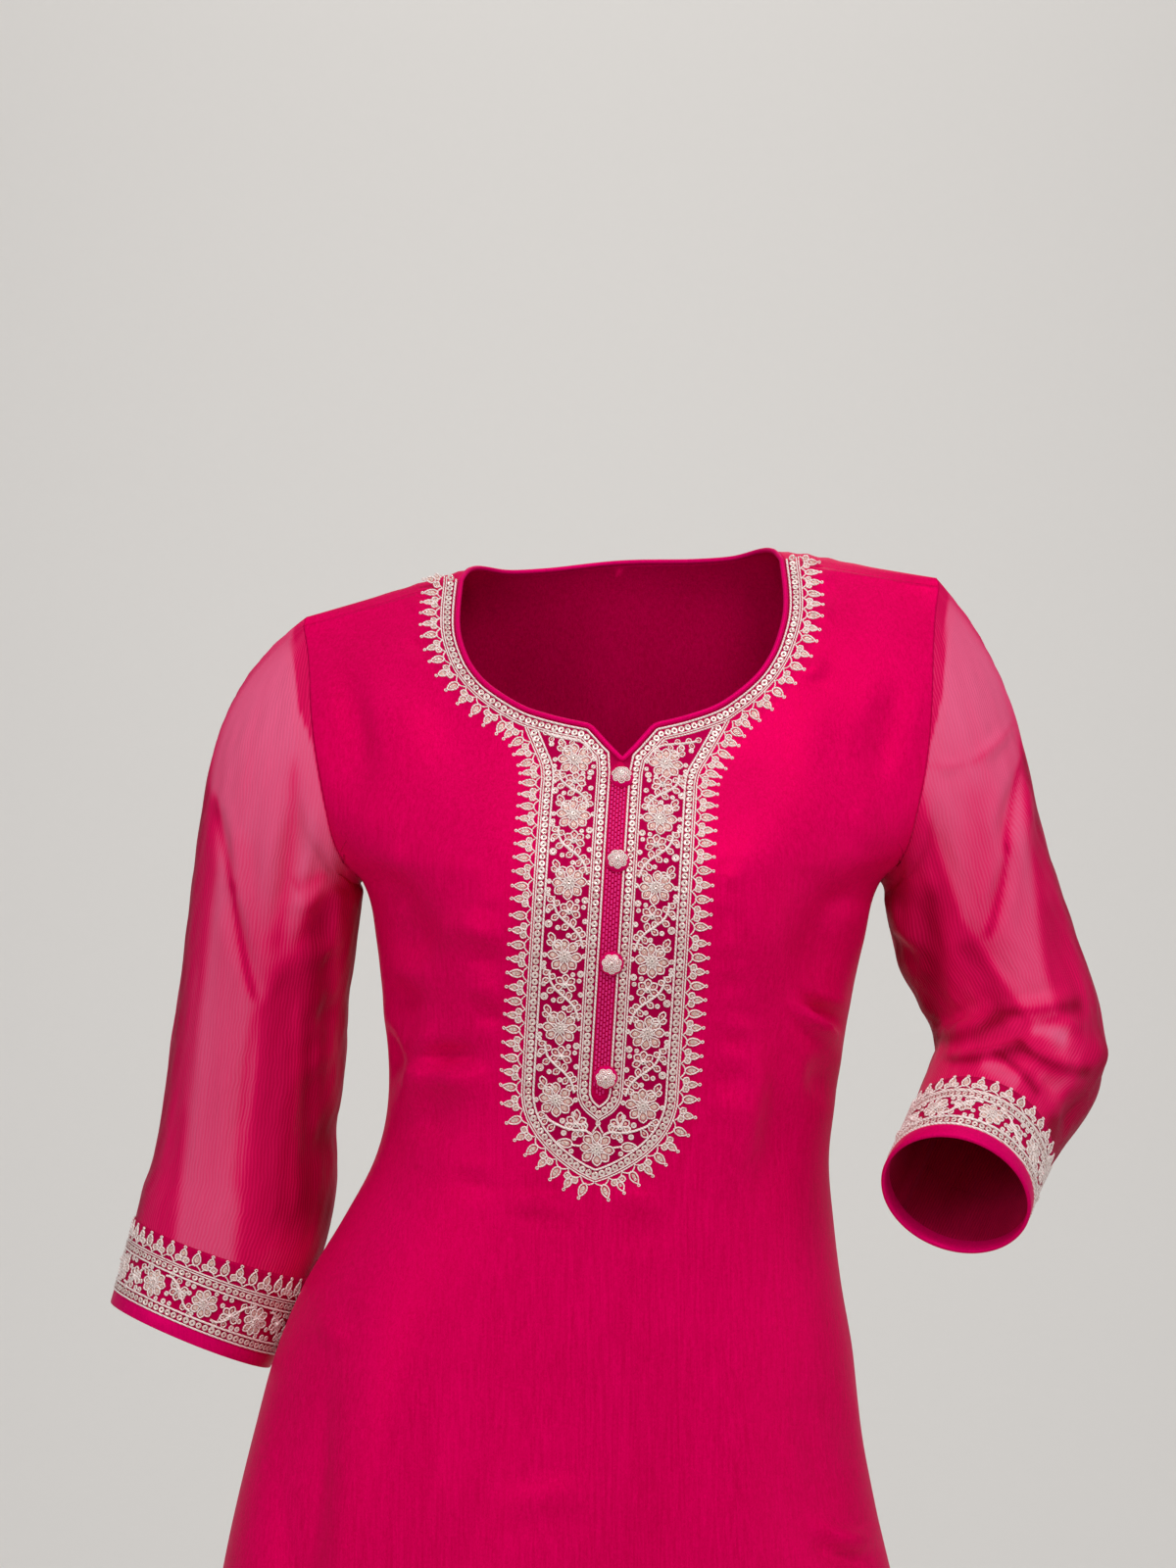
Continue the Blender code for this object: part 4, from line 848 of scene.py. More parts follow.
def sheer_finish(name):
    """Crinkled chiffon: see-through, painted pale as painted light where it is drawn over the arm,
    and deep in its folds, partly layered cloth and partly painted shade.
    """
    colour_of = colours()
    pale, middle, deep = colour_of.sheer, colour_of.sheer_mid, colour_of.sheer_deep
    made, tree, shader = new_finish(name, middle, 0.5, 0.06)
    tube = node(tree, "ShaderNodeAttribute", {}, attribute_name="down_the_arm").outputs["Vector"]
    fold_and_light_depth = node(tree, "ShaderNodeAttribute", {}, attribute_name="fold_and_light_depth").outputs["Fac"]
    lines = waves(tree, tube, 165.0, 5.0, "X", 0.5)
    crinkle = added(tree, lines, noise(tree, stretched(tree, (900, 900, 22), tube), 1.0, 2.0, 0.6))
    patch = noise(tree, stretched(tree, (60, 60, 5), tube), 1.0, 1.0, 0.5, 0.4)
    depth = added(tree, fold_and_light_depth, ranged(tree, crinkle, 0.3, 1.7, -0.1, 0.1))
    depth = added(tree, depth, ranged(tree, patch, 0.3, 0.7, -0.04, 0.04))
    # the colour runs from pale, painted light, through the mid colour to deep, partly layered folds
    # and partly painted shade
    ramp = node(tree, "ShaderNodeValToRGB", {0: depth})
    ramp.color_ramp.elements[0].color = (*pale, 1.0)
    ramp.color_ramp.elements[1].color = (*deep, 1.0)
    ramp.color_ramp.elements.new(0.52).color = (*middle, 1.0)
    values = {
        "Base Color": ramp.outputs[0],
        "Specular Tint": (1.0, 0.35, 0.55, 1.0),
        "Sheen Weight": 0.12,
        "Sheen Roughness": 0.35,
        "Sheen Tint": (1.0, 0.2, 0.42, 1.0),
    }
    wire(tree, shader, values)
    bump(tree, shader, crinkle, 0.4, 0.0005)
    clear = node(tree, "ShaderNodeBsdfTransparent", {"Color": (1.0, 0.38, 0.6, 1.0)})
    cover = ranged(tree, depth, 0.0, 0.46, 0.76, 1.0)
    mix = node(tree, "ShaderNodeMixShader", {0: cover, 1: clear.outputs[0], 2: shader.outputs[0]})
    wire(tree, tree.nodes["Material Output"], {"Surface": mix.outputs[0]})
    return made


def thread_finish(name, pale, deep):
    """Pale metallic thread, twisted."""
    made, tree, shader = new_finish(name, pale, 0.4, 0.45)
    broad = noise(tree, stretched(tree, (1, 1, 1)), 210.0, 2.0, 0.6)
    twist = waves(tree, stretched(tree, (1, 0.2, 1)), 270.0, 2.2, "DIAGONAL")
    # painted shade: the thread is darker in the grooves of its twist, with a random tone over it
    tint = ranged(tree, added(tree, twist, broad), 0.36, 0.84, 0.0, 1.0)
    wire(tree, shader, {"Base Color": blend_colour(tree, tint, deep, pale), "Metallic": 0.12})
    bump(tree, shader, twist, 0.5, 0.0004)
    return made


def sequin_finish(name):
    """Cupped metallic discs."""
    pale = tuple(colours().sequin)
    made, tree, shader = new_finish(name, pale, 0.24, 0.6)
    broad = noise(tree, stretched(tree, (1, 1, 1)), 190.0, 1.0)
    deep = tuple(c * k for c, k in zip(pale, (0.88, 0.74, 0.74)))
    tint = ranged(tree, broad, 0.36, 0.60, 0.0, 1.0)
    values = {
        "Base Color": blend_colour(tree, tint, deep, pale),
        "Roughness": ranged(tree, broad, 0.35, 0.65, 0.16, 0.36),
        "Metallic": 0.35,
    }
    wire(tree, shader, values)
    return made


def finish(name):
    """A finish by its name, made once."""
    if name in bpy.data.materials:
        return bpy.data.materials[name]
    c = colours()
    makers = {
        "satin_crepe": (crepe_finish, c.crepe, c.crepe_deep),
        "salwar_satin": (crepe_finish, c.crepe, c.crepe_deep, 0.5),
        "piping_satin": (crepe_finish, c.piping, toned(c.piping, 0.8), 0.4),
        "cuff_ground": (crepe_finish, (0.56, 0.0, 0.075), (0.44, 0.0, 0.05), 0.55, 0.1),
        "placket_ground": (crepe_finish, (0.62, 0.0, 0.08), (0.46, 0.0, 0.05), 0.5, 0.1),
        "pink_thread": (crepe_finish, c.stitch, toned(c.stitch, 0.8), 0.4, 0.1),
        "metallic_thread": (thread_finish, c.thread, c.thread_deep),
        "filling_stitches": (thread_finish, c.filling, toned(c.filling, 0.6)),
        "sheer_chiffon": (sheer_finish,),
        "sequins": (sequin_finish,),
    }
    maker, *values = makers[name]
    return maker(name, *values)


# ---- kameez body


def build_panels():
    for panel, node_name in ((-1, "kameez_front"), (1, "kameez_back")):
        points, faces = [], []
        for side in (-1, 1):
            grid = half_panel(panel, side)
            start = sum(len(p) for p in points)
            faces += grid_faces(grid.shape[0], grid.shape[1], start, flip=panel * side > 0)
            points.append(grid.reshape(-1, 3))
        piece = add_mesh(f"{node_name}_cloth", np.vstack(points), faces, finish("satin_crepe"))
        thicken(weld(piece), CLOTH)
        place(piece, "crepe", node_name)


def neck_edge(panel, side):
    """The neckline from the shoulder to the centre, with the way out of the cloth."""
    last = NOTCH * ROW_PARTS if panel < 0 else BACK_CENTRE * ROW_PARTS
    grid = half_panel(panel, side)[: last + 1]
    return grid[:, 0], unit(grid[:, 0] - grid[:, 1])


def spaced(path, step):
    """A path of points at even steps."""
    path = np.asarray(path, float)
    lengths = np.concatenate([[0], np.cumsum(steps(path))])
    count = max(2, int(round(lengths[-1] / step)) + 1)
    at = np.linspace(0, lengths[-1], count)
    return np.stack([np.interp(at, lengths, path[:, k]) for k in range(path.shape[1])], -1)


def build_piping():
    """A round satin cord along the whole neckline."""
    runs = []
    for panel, side, back in ((-1, 1, 0), (-1, -1, 1), (1, -1, 0), (1, 1, 1)):
        line, away = neck_edge(panel, side)
        both = np.hstack([line, away])
        runs.append(both[::-1] if back else both)
    loop = np.vstack([run[:-1] for run in runs])
    loop = loop[np.linalg.norm(loop[:, :3] - np.roll(loop[:, :3], 1, axis=0), axis=1) > 0.05]
    loop = spaced(np.vstack([loop, loop[:1]]), PIPING_STEP)[:-1]
    for _ in range(2):
        loop = (np.roll(loop, 1, axis=0) + 2 * loop + np.roll(loop, -1, axis=0)) / 4
    line, away = loop[:, :3], loop[:, 3:]
    tangent = unit(np.roll(line, -1, axis=0) - np.roll(line, 1, axis=0))
    away = unit(away - tangent * (away * tangent).sum(1)[:, None])
    up = np.cross(tangent, away)
    centre = line + away * (PIPING_RADIUS * 0.75)
    turn = whole_turn(10)[None, :, None]
    rings = away[:, None] * np.cos(turn) + up[:, None] * np.sin(turn)
    rings = centre[:, None] + rings * PIPING_RADIUS
    rings = np.concatenate([rings, rings[:1]])
    piece = tube_mesh("neck_piping_cord", rings, finish("piping_satin"), flip=True)
    place(weld(piece), "piping", "neck_piping")


# ---- flat chart of the front


def sample(grid, x, y):
    """A grid of values read between its points."""
    i = np.clip(np.floor(x).astype(int), 0, grid.shape[0] - 2)
    j = np.clip(np.floor(y).astype(int), 0, grid.shape[1] - 2)
    a, b = np.clip(x - i, 0, 1), np.clip(y - j, 0, 1)
    return (
        grid[i, j] * (1 - a) * (1 - b)
        + grid[i + 1, j] * a * (1 - b)
        + grid[i, j + 1] * (1 - a) * b
        + grid[i + 1, j + 1] * a * b
    )


class FrontChart:
    """The front cloth laid flat: x across, and distance down the cloth from a fixed level."""

    STEP = 2.0
    X0, Z0, S0 = -140.0, -420.0, -330.0
    ZERO = -200.0

    def __init__(self):
        xs = np.arange(self.X0, -self.X0 + 1, self.STEP)
        zs = np.arange(self.Z0, 13, self.STEP)
        x, z = np.meshgrid(xs, zs, indexing="ij")
        level = z.copy()
        for _ in range(30):
            level += 0.8 * (z - stance(x, level - shoulder_drop(x, level)))
        self.depth = body_cloth(level, around(x, level), -1)[..., 1]
        self.slope_x, self.slope_z = np.gradient(self.depth, self.STEP)
        pace = np.sqrt(1 + self.slope_z**2)
        run = np.cumsum((pace[:, 1:] + pace[:, :-1]) / 2 * self.STEP, axis=1)
        run = np.hstack([np.zeros((len(xs), 1)), run])
        zero = int((self.ZERO - self.Z0) / self.STEP)
        self.down = run[:, zero : zero + 1] - run
        ss = np.arange(self.S0, 300, self.STEP)
        self.height = np.array([np.interp(ss, d[::-1], zs[::-1]) for d in self.down])

    def flat(self, x, z):
        """Where a place of the front view lies on the chart."""
        i, j = (np.asarray(x) - self.X0) / self.STEP, (np.asarray(z) - self.Z0) / self.STEP
        return np.stack([np.asarray(x, float), sample(self.down, i, j)], -1)

    def lay(self, flat, lift):
        """Places of the chart on the worn cloth, raised off it."""
        flat = np.asarray(flat, float)
        i, j = (flat[:, 0] - self.X0) / self.STEP, (flat[:, 1] - self.S0) / self.STEP
        z = sample(self.height, i, j)
        j = (z - self.Z0) / self.STEP
        y = sample(self.depth, i, j)
        normal = np.stack(
            [sample(self.slope_x, i, j), np.full_like(y, -1), sample(self.slope_z, i, j)], -1
        )
        return np.stack([flat[:, 0], y, z], -1) + unit(normal) * np.asarray(lift)[..., None]


# ---- needlework


def ring_points(centre, radius, count=12):
    turn = whole_turn(count)
    return np.asarray(centre) + radius * np.stack([np.cos(turn), np.sin(turn)], -1)


def row_faces(n, bands, closed=True):
    """Faces between rows of n points that follow each other."""
    k = np.arange(n if closed else n - 1)
    m = (k + 1) % n
    return np.vstack([np.stack([k, m, m + n, k + n], -1) + band * n for band in range(bands)])


def beside(path):
    """The way out on the right of a path."""
    ahead = unit(np.gradient(path, axis=0))
    return np.stack([ahead[:, 1], -ahead[:, 0]], -1)


def stitched(name, points, faces, filled, material_name):
    """A mesh of needlework. Its filled faces are filling stitches, coloured deeper partly as
    painted shade.
    """
    piece = add_mesh(name, points, faces.tolist(), finish(material_name))
    if filled.any():
        piece.data.materials.append(finish("filling_stitches"))
        piece.data.polygons.foreach_set("material_index", filled.astype(np.int32))
    return piece


class Needlework:
    """Threads, sequins and beads on a flat chart, laid on the cloth at the end."""

    def __init__(self):
        self.flat, self.lift, self.faces, self.filled, self.count = [], [], [], [], 0

    def arrays(self):
        return tuple(map(np.concatenate, (self.flat, self.lift, self.faces, self.filled)))

    def put(self, flat, lift, faces, filled=0):
        self.flat.append(np.asarray(flat, float))
        self.lift.append(np.broadcast_to(np.asarray(lift, float), (len(flat),)))
        self.faces.append(np.asarray(faces) + self.count)
        self.filled.append(np.broadcast_to(filled, (len(faces),)))
        self.count += len(flat)

    def thread(self, path, width, closed=False, base=0.0):
        """A thread lying on the cloth along a path."""
        path = np.asarray(path, float)
        if closed:
            ahead = np.roll(path, -1, axis=0) - np.roll(path, 1, axis=0)
        else:
            ahead = np.gradient(path, axis=0)
        side = unit(np.stack([-ahead[:, 1], ahead[:, 0]], -1))
        r = width / 2
        flat = np.concatenate([path + side * k * r for k in (-1, -0.62, 0.62, 1)])
        n = len(path)
        lift = np.repeat([base, base + r * 1.5, base + r * 1.5, base], n)
        self.put(flat, lift, row_faces(n, 3, closed))

    def patch(self, outline, base, crown, hole=0.0, filled=0):
        """A raised shape of thread, or of low filling stitches (filled=1), whose deeper colour is
        partly their own and partly painted shade.
        """
        outline = np.asarray(outline, float)
        n = len(outline)
        middle = outline.mean(0)
        inner = middle + (outline - middle) * max(hole, 0.12)
        lift = np.repeat([base, base + crown], n)
        self.put(np.concatenate([outline, inner]), lift, row_faces(n, 1), filled)

    def sequin(self, centre, radius, base=0.25, lean=0.0, turn=0.0):
        """A cupped disc with a hole, leaning a little."""
        flat, lift = [], []
        for share, high in ((1.0, 0.0), (0.92, 0.3), (0.6, 0.2), (0.3, 0.05)):
            flat.append(ring_points(centre, radius * share, 10))
            lift.append(base + high + lean * share * np.cos(whole_turn(10) - turn))
        self.put(np.concatenate(flat), np.concatenate(lift), row_faces(10, 3))

    def bead(self, centre, radius, base=0.0):
        """A small knot of thread."""
        flat = [ring_points(centre, radius * share, 7) for share in (1.0, 0.8, 0.25)]
        lift = np.repeat([base, base + radius * 0.75, base + radius * 1.05], 7)
        self.put(np.concatenate(flat), lift, row_faces(7, 2))

    def build(self, name, lay, material_name):
        flat, lift, faces, filled = self.arrays()
        return stitched(name, lay(flat, lift), faces, filled, material_name)


class Motif:
    """A local frame on the chart for one motif: its root, its direction and its handedness."""

    def __init__(self, root, ahead, hand=1.0):
        self.root = np.asarray(root, float)
        self.ahead = unit(np.asarray(ahead, float))
        self.side = np.array([self.ahead[1], -self.ahead[0]]) * hand

    def at(self, across, along):
        across, along = np.asarray(across, float), np.asarray(along, float)
        return self.root + across[..., None] * self.side + along[..., None] * self.ahead

    def turned(self, across, along, degrees):
        """A frame at a place of this one, turned towards its side."""
        a = math.radians(degrees)
        way = self.ahead * math.cos(a) + self.side * math.sin(a)
        made = Motif(self.at(across, along), way)
        made.side = self.side * math.cos(a) - self.ahead * math.sin(a)
        return made


def leaf_outline(frame_, long, wide, count, blunt):
    """A leaf from its root to its tip. The larger blunt is, the rounder its tip."""
    t = np.linspace(0, 1, count // 2 + 1)
    t = t * 0.6 + 0.4 * (1 - np.cos(np.pi * t)) / 2
    half = wide / 2 * np.sin(np.pi * t**blunt) ** 0.8
    across = np.concatenate([half, -half[-2:0:-1]])
    along = np.concatenate([t, t[-2:0:-1]]) * long
    return frame_.at(across, along)


def loop_leaf(work, frame_, long, wide, width=1.3):
    """A leaf stitched as a loop, with a few filling stitches inside."""
    outline = leaf_outline(frame_, long, wide, 12, 1.35)
    work.thread(outline, width * 0.7, closed=True)
    middle = outline.mean(0)
    work.patch(middle + (outline - middle) * 0.4, 0.05, 0.25, 0.12, 1)


def ring(work, centre, radius, width=0.75):
    work.thread(ring_points(centre, radius, 10), width, closed=True)


def full_leaf(work, shine, frame_, long, wide, dots=2, count=14, blunt=0.8):
    """A filled leaf with an outline and small sequins along its middle."""
    outline = leaf_outline(frame_, long, wide, count, blunt)
    work.thread(outline, 0.95, closed=True)
    middle = outline.mean(0)
    work.patch(middle + (outline - middle) * 0.66, 0.05, 0.25, 0.12, 1)
    first = 0.4 if blunt < 1 else 0.56
    for k in range(dots):
        at = frame_.at(0.0, long * (first - 0.02 + 0.25 * k if dots > 1 else first))
        shine.sequin(at, wide * 0.2, 0.3)


def big_flower(work, shine, frame_, width, seed):
    """Eight full petals round a rosette."""
    for k in range(8):
        arm = frame_.turned(0, 0, 45 * k + 5 * math.sin(2.1 * seed + 1.7 * k))
        arm.root = arm.at(0.0, width * 0.145)
        long = width * (0.335 + 0.015 * math.sin(seed + 2.3 * k))
        full_leaf(work, shine, arm, long, width * 0.242, dots=1, blunt=1.3)
    work.patch(ring_points(frame_.root, width * 0.17), 0.3, 0.7, 0.1)
    for k in range(16):
        spoke = frame_.turned(0, 0, 22.5 * k + 9)
        work.thread(spoke.at(np.zeros(3), width * np.array([0.09, 0.14, 0.2])), 0.75, base=0.45)
    for k in range(8):
        a = 2 * math.pi * k / 8 + seed
        way = np.array([math.cos(a), math.sin(a)])
        work.bead(frame_.root + width * 0.118 * way, 0.85, 0.75)
    shine.sequin(frame_.root, width * 0.075, 1.5)


def small_flower(work, frame_, width, long_petal=0.0):
    """Five looped petals fanned over a stem."""
    for degrees in (-110, -54, 0, 54, 110):
        reach = 0.46 + (long_petal if degrees == 0 else 0.0)
        arm = frame_.turned(0, 0, degrees)
        arm.root = arm.at(0.0, width * 0.1)
        loop_leaf(work, arm, width * reach, width * 0.34, 1.35)
    work.bead(frame_.root, width * 0.16, 0.2)


def stem(work, frame_, points, width, count):
    """A smooth run through points given in a motif's frame."""
    run = through(points, np.linspace(0, len(points) - 1, count))
    work.thread(frame_.at(run[:, 0], run[:, 1]), width)


def leaves(work, frame_, rows, wide, width=1.3, pace=1.0, hand=1):
    """Looped leaves: place across and along, degrees and length of each."""
    for across, along, degrees, long in rows:
        leaf = frame_.turned(hand * across, pace * along, hand * degrees)
        loop_leaf(work, leaf, long, wide, width)


def loose_rings(work, shine, frame_, rows, pace=1.0, hand=1):
    """Sequins, each held by a ring of thread: place across and along, and radius of each."""
    for across, along, radius in rows:
        spot = frame_.at(hand * across, pace * along)
        ring(work, spot, radius)
        shine.sequin(spot, radius * 0.82, 0.15)


def vine_repeat(work, shine, frame_, pitch, width, seed):
    """A large flower, its sprig, and the vine with a small flower down to the next one. Along the
    frame is down the border, and its side is towards the border's outer edge."""
    big_flower(work, shine, frame_, width, seed)
    outer_sprig(work, frame_)
    small_flower(work, frame_.turned(-1.4, pitch * 0.40, 180), 11.8)
    # the vine, from the flower's outer foot across to the next flower's inner shoulder
    vine = (
        (8.2, pitch * 0.20), (8.0, pitch * 0.31), (5.6, pitch * 0.43), (0.5, pitch * 0.535),
        (-4.6, pitch * 0.625), (-8.6, pitch * 0.74), (-10.6, pitch * 0.88),
    )
    stem(work, frame_, vine, 1.45, 24)
    along_the_vine = (
        (8.2, 0.215, 62, 4.2), (8.3, 0.27, -64, 3.8), (7.6, 0.335, 74, 4.8), (4.6, 0.455, 62, 5.0),
        (2.2, 0.49, -70, 3.6), (-1.6, 0.565, 50, 5.2), (-4.2, 0.61, 176, 5.2),
        (-5.2, 0.635, -84, 4.4), (-6.6, 0.67, 34, 5.2), (-8.6, 0.745, -150, 4.4),
        (-9.2, 0.775, 40, 4.6), (-10.4, 0.86, -158, 3.8),
    )
    leaves(work, frame_, along_the_vine, 3.4, pace=pitch)
    beside_the_flowers = (
        (11.8, 0.0, 1.2), (-11.7, -0.01, 1.2), (11.9, 0.115, 1.2), (11.9, 0.175, 1.1),
        (-5.6, 0.25, 1.1), (-10.2, 0.235, 1.7), (-9.6, 0.33, 1.1), (11.4, 0.40, 1.2),
        (10.6, 0.575, 2.0), (-10.9, 0.52, 1.3), (5.0, 0.62, 1.2), (-1.6, 0.72, 1.2),
    )
    loose_rings(work, shine, frame_, beside_the_flowers, pitch)


def outer_sprig(work, frame_):
    """Three leaves over the outer shoulder of a large flower."""
    root = frame_.at(7.0, -7.4)
    sprig = Motif(root, frame_.at(9.6, -15.0) - root)
    sprig.side = frame_.side
    loop_leaf(work, sprig, 6.4, 4.0)
    leaves(work, sprig, ((0, -1.2, -66, 5.2), (0, -1.2, 58, 4.8)), 3.6)
    stem(work, sprig, ((0, 0.5), (-0.4, -1.6), (-1.6, -3.0)), 1.2, 6)


def fringe(work, shine, path, pitch):
    """Leaves and trefoils set along a cord, pointing away from it, and the scallops between."""
    path = np.asarray(path, float)
    total = steps(path).sum()
    count = max(1, int(round(total / pitch)))
    line = spaced(path, total / count / 8)
    lengths = np.linspace(0, total, len(line))
    out = beside(line)
    swing = FRINGE_FOOT * np.abs(np.cos(np.pi * lengths / (total / count) - np.pi / 2)) ** 0.8
    work.thread(line + out * (0.7 + swing[:, None]), 0.8)
    for k in range(count):
        at = int((k + 0.5) / count * (len(line) - 1))
        motif = Motif(line[at], out[at])
        motif.root = motif.at(0.0, 0.6)
        if k % 2:
            leaf = motif.turned(0.0, FRINGE_FOOT - 0.3, 0)
            full_leaf(work, shine, leaf, 8.6, 4.6)
        else:
            for hand in (-1, 1):
                lobe = motif.turned(hand * 0.5, FRINGE_FOOT - 0.2, hand * 60)
                full_leaf(work, shine, lobe, 4.4, 3.6, dots=1, count=12, blunt=1.3)
            tip = motif.turned(0.0, FRINGE_FOOT + 1.8, 0)
            full_leaf(work, shine, tip, 6.2, 3.8, dots=1, count=12)
        ring(work, motif.at(0.0, FRINGE_TIP - 1.2), 0.75, 0.7)


def sequin_row(shine, path, pitch, radius):
    """Sequins side by side."""
    for k, spot in enumerate(spaced(path, pitch)):
        shine.sequin(spot, radius * (1 + 0.05 * math.sin(1.7 * k)), 0.3, 0.16, 2.4 * k)


def double_cord(work, path, width):
    """Two cords side by side."""
    for hand in (0.7, -0.7):
        work.thread(path + beside(path) * hand * width, width * 0.86)


def offset_path(base, distance, hand):
    """A path at a distance from another one, on one side of it, with its corners kept sharp."""
    fine = spaced(base, 0.6)
    moved = fine + beside(fine) * hand * distance
    return spaced(moved[gaps(moved, fine).min(1) > distance - 0.05], PATH_STEP)


def pointed(half, depth, start, count=40):
    """The pointed foot of a border: from its side to its tip, as across and down."""
    share = np.sin(np.linspace(0, np.pi / 2, count))
    across = half * np.maximum(0.0, 1 - share**2.2) ** 0.85
    return np.stack([across, start + depth * share], -1)


class Yoke:
    """Borders of the neck embroidery on the flat chart of the front."""

    def __init__(self, chart):
        self.chart = chart
        edge, _ = neck_edge(-1, 1)
        notch = chart.flat(AXIS_TOP, edge[-1][2])
        self.axis = Motif(notch, (-math.sin(AXIS_LEAN), math.cos(AXIS_LEAN)))

    def neck(self, side):
        """The neckline from the shoulder, on to the placket's edge and down to its foot."""
        edge, _ = neck_edge(-1, side)
        flat = self.chart.flat(edge[:, 0], edge[:, 2])
        kept = flat[self.local(flat, side)[:, 0] > EDGE_HALF + 0.3]
        foot = pointed(EDGE_HALF, 7.0, PLACKET_FOOT - 7.0)
        straight = np.stack([np.full(60, EDGE_HALF), np.linspace(7.0, PLACKET_FOOT - 7.4, 60)], -1)
        run = np.vstack([straight, foot])
        return np.vstack([kept, self.axis.at(run[:, 0] * side, run[:, 1])])

    def inner(self, side, distance):
        """A line round the neck at a distance from its edge, brought to a point at its foot."""
        path = offset_path(self.neck(side), distance, side)
        (a0, t0), (a1, t1) = self.local(path[-3:-1], side)
        tip = np.array([(0.0, t1 + (t1 - t0) * a1 / max(0.05, a0 - a1))])
        return spaced(np.vstack([path[:-1], self.axis.at(tip[:, 0], tip[:, 1])]), PATH_STEP)

    def local(self, path, side):
        """Distances across (outward on a side) and down from the notch."""
        away = path - self.axis.root
        return np.stack([away @ self.axis.side * side, away @ self.axis.ahead], -1)

    def outer(self, side, half, depth):
        """A border of the flower zone, from under the neck band down to the tip."""
        run = through(ZONE_TOP + (half, 0.0), np.linspace(0, len(ZONE_TOP) - 1, 30))
        straight = np.stack([np.full(40, half), np.linspace(24, ZONE_FOOT - 2, 40)], -1)
        run = np.vstack([run, straight, pointed(half, depth, ZONE_FOOT)])
        return spaced(self.axis.at(run[:, 0] * side, run[:, 1]), PATH_STEP)

    def below_neck(self, side, border, distance):
        """The part of a border that lies outside the neck band."""
        path = self.outer(side, *border)
        gap = gaps(path, spaced(self.neck(side), 1.0)).min(1)
        return path[np.argmax(gap > distance) :]


def yoke_borders(yoke, work, shine):
    size = sizes()
    cord, pitch, disc = size.cord / MM, size.sequin_pitch / MM, size.sequin / MM / 2
    for side in (-1, 1):
        work.thread(yoke.inner(side, INNER_CORD), cord * 1.25)
        sequin_row(shine, yoke.inner(side, INNER_SEQUINS), pitch, disc)
        double_cord(work, yoke.inner(side, INNER_DOUBLE), cord)
        work.thread(yoke.below_neck(side, ZONE_CORD, INNER_DOUBLE + 0.8), cord * 1.25)
        sequin_row(shine, yoke.below_neck(side, ZONE_SEQUINS, INNER_DOUBLE + 2.6), pitch, disc)
        double_cord(work, yoke.below_neck(side, ZONE_DOUBLE, INNER_DOUBLE + 0.8), cord)


def fringe_path(yoke, side):
    """The outer double cord: along the neck band, then down the outer border to its tip."""
    band = yoke.inner(side, INNER_DOUBLE + 0.6)
    border = yoke.outer(side, ZONE_DOUBLE[0] + 0.6, ZONE_DOUBLE[1] + 0.7)
    gap = gaps(band, border)
    i, j = np.unravel_index(np.argmin(gap), gap.shape)
    path = spaced(np.vstack([band[: max(1, i - 4)], border[j + 5 :]]), 1.0)
    padded = np.pad(path, ((SOFTEN // 2, SOFTEN // 2), (0, 0)), "edge")
    kernel = np.ones(SOFTEN) / SOFTEN
    soft = np.stack([np.convolve(padded[:, k], kernel, "valid") for k in (0, 1)], -1)[SOFTEN:]
    soft[0], soft[-1] = path[0], path[-1]
    return soft


def yoke_flowers(yoke, work, shine):
    size = sizes()
    pitch, width = size.flower_pitch / MM, size.flower / MM
    for side in (-1, 1):
        down = Motif(yoke.axis.root, yoke.axis.ahead, side)
        top = down.turned(FLOWER_ACROSS + 1.6, FLOWER_FIRST, 0)
        yoke_top_sprigs(work, shine, top)
        vine_repeat(work, shine, top, FLOWER_SECOND - FLOWER_FIRST, width, side)
        for k in range(VINE_REPEATS):
            spot = down.turned(FLOWER_ACROSS, FLOWER_SECOND + pitch * k, 0)
            vine_repeat(work, shine, spot, pitch, width, 1.3 * k + side)
        last = down.turned(FLOWER_ACROSS, FLOWER_SECOND + pitch * VINE_REPEATS, 0)
        yoke_foot(work, shine, last, width, side)
    foot = Motif(yoke.axis.at(0.0, FOOT_FLOWER), -yoke.axis.ahead)
    big_flower(work, shine, foot, width, 0.4)
    for hand in (-1, 1):
        wing = foot.turned(hand * 11.2, 1.2, hand * 84)
        stem(work, wing, ((0, -1.5), (0.3, 2.0), (0.2, 4.2)), 1.2, 6)
        full_leaf(work, shine, wing.turned(0, 3.2, 0), 9.4, 5.2, dots=3)
        loose_rings(work, shine, wing, ((-3.9, 3.0, 1.2), (4.2, 3.4, 1.2)))
        stem(work, foot, ((hand * 3.0, 9.6), (hand * 1.4, 12.4), (hand * 0.4, 13.8)), 1.0, 6)
    loose_rings(work, shine, foot, ((0.0, 15.2, 1.2),))


def yoke_top_sprigs(work, shine, frame_):
    """Leaves that fill the room between the neck band and the first flower."""
    run = ((18.0, -17.4), (10.6, -15.0), (2.9, -13.4), (-4.8, -11.0), (-10.2, -4.6), (-11.4, 0.0))
    stem(work, frame_, run, 1.3, 20)
    along_the_stem = (
        (16.4, -17.0, 118, 4.2), (14.0, -16.0, 20, 4.2), (11.0, -15.2, 134, 4.2),
        (8.0, -14.5, 20, 4.2), (4.6, -13.8, 136, 3.8), (1.6, -13.1, 16, 3.8),
        (-2.4, -12.0, 146, 3.6), (-6.0, -10.2, 4, 4.2), (-8.0, -8.0, 158, 3.6),
        (-9.8, -5.2, 20, 3.6),
    )
    leaves(work, frame_, along_the_stem, 3.0, 0.95)
    loose_rings(work, shine, frame_, ((14.6, -10.6, 1.3), (-11.6, 5.0, 1.1)))


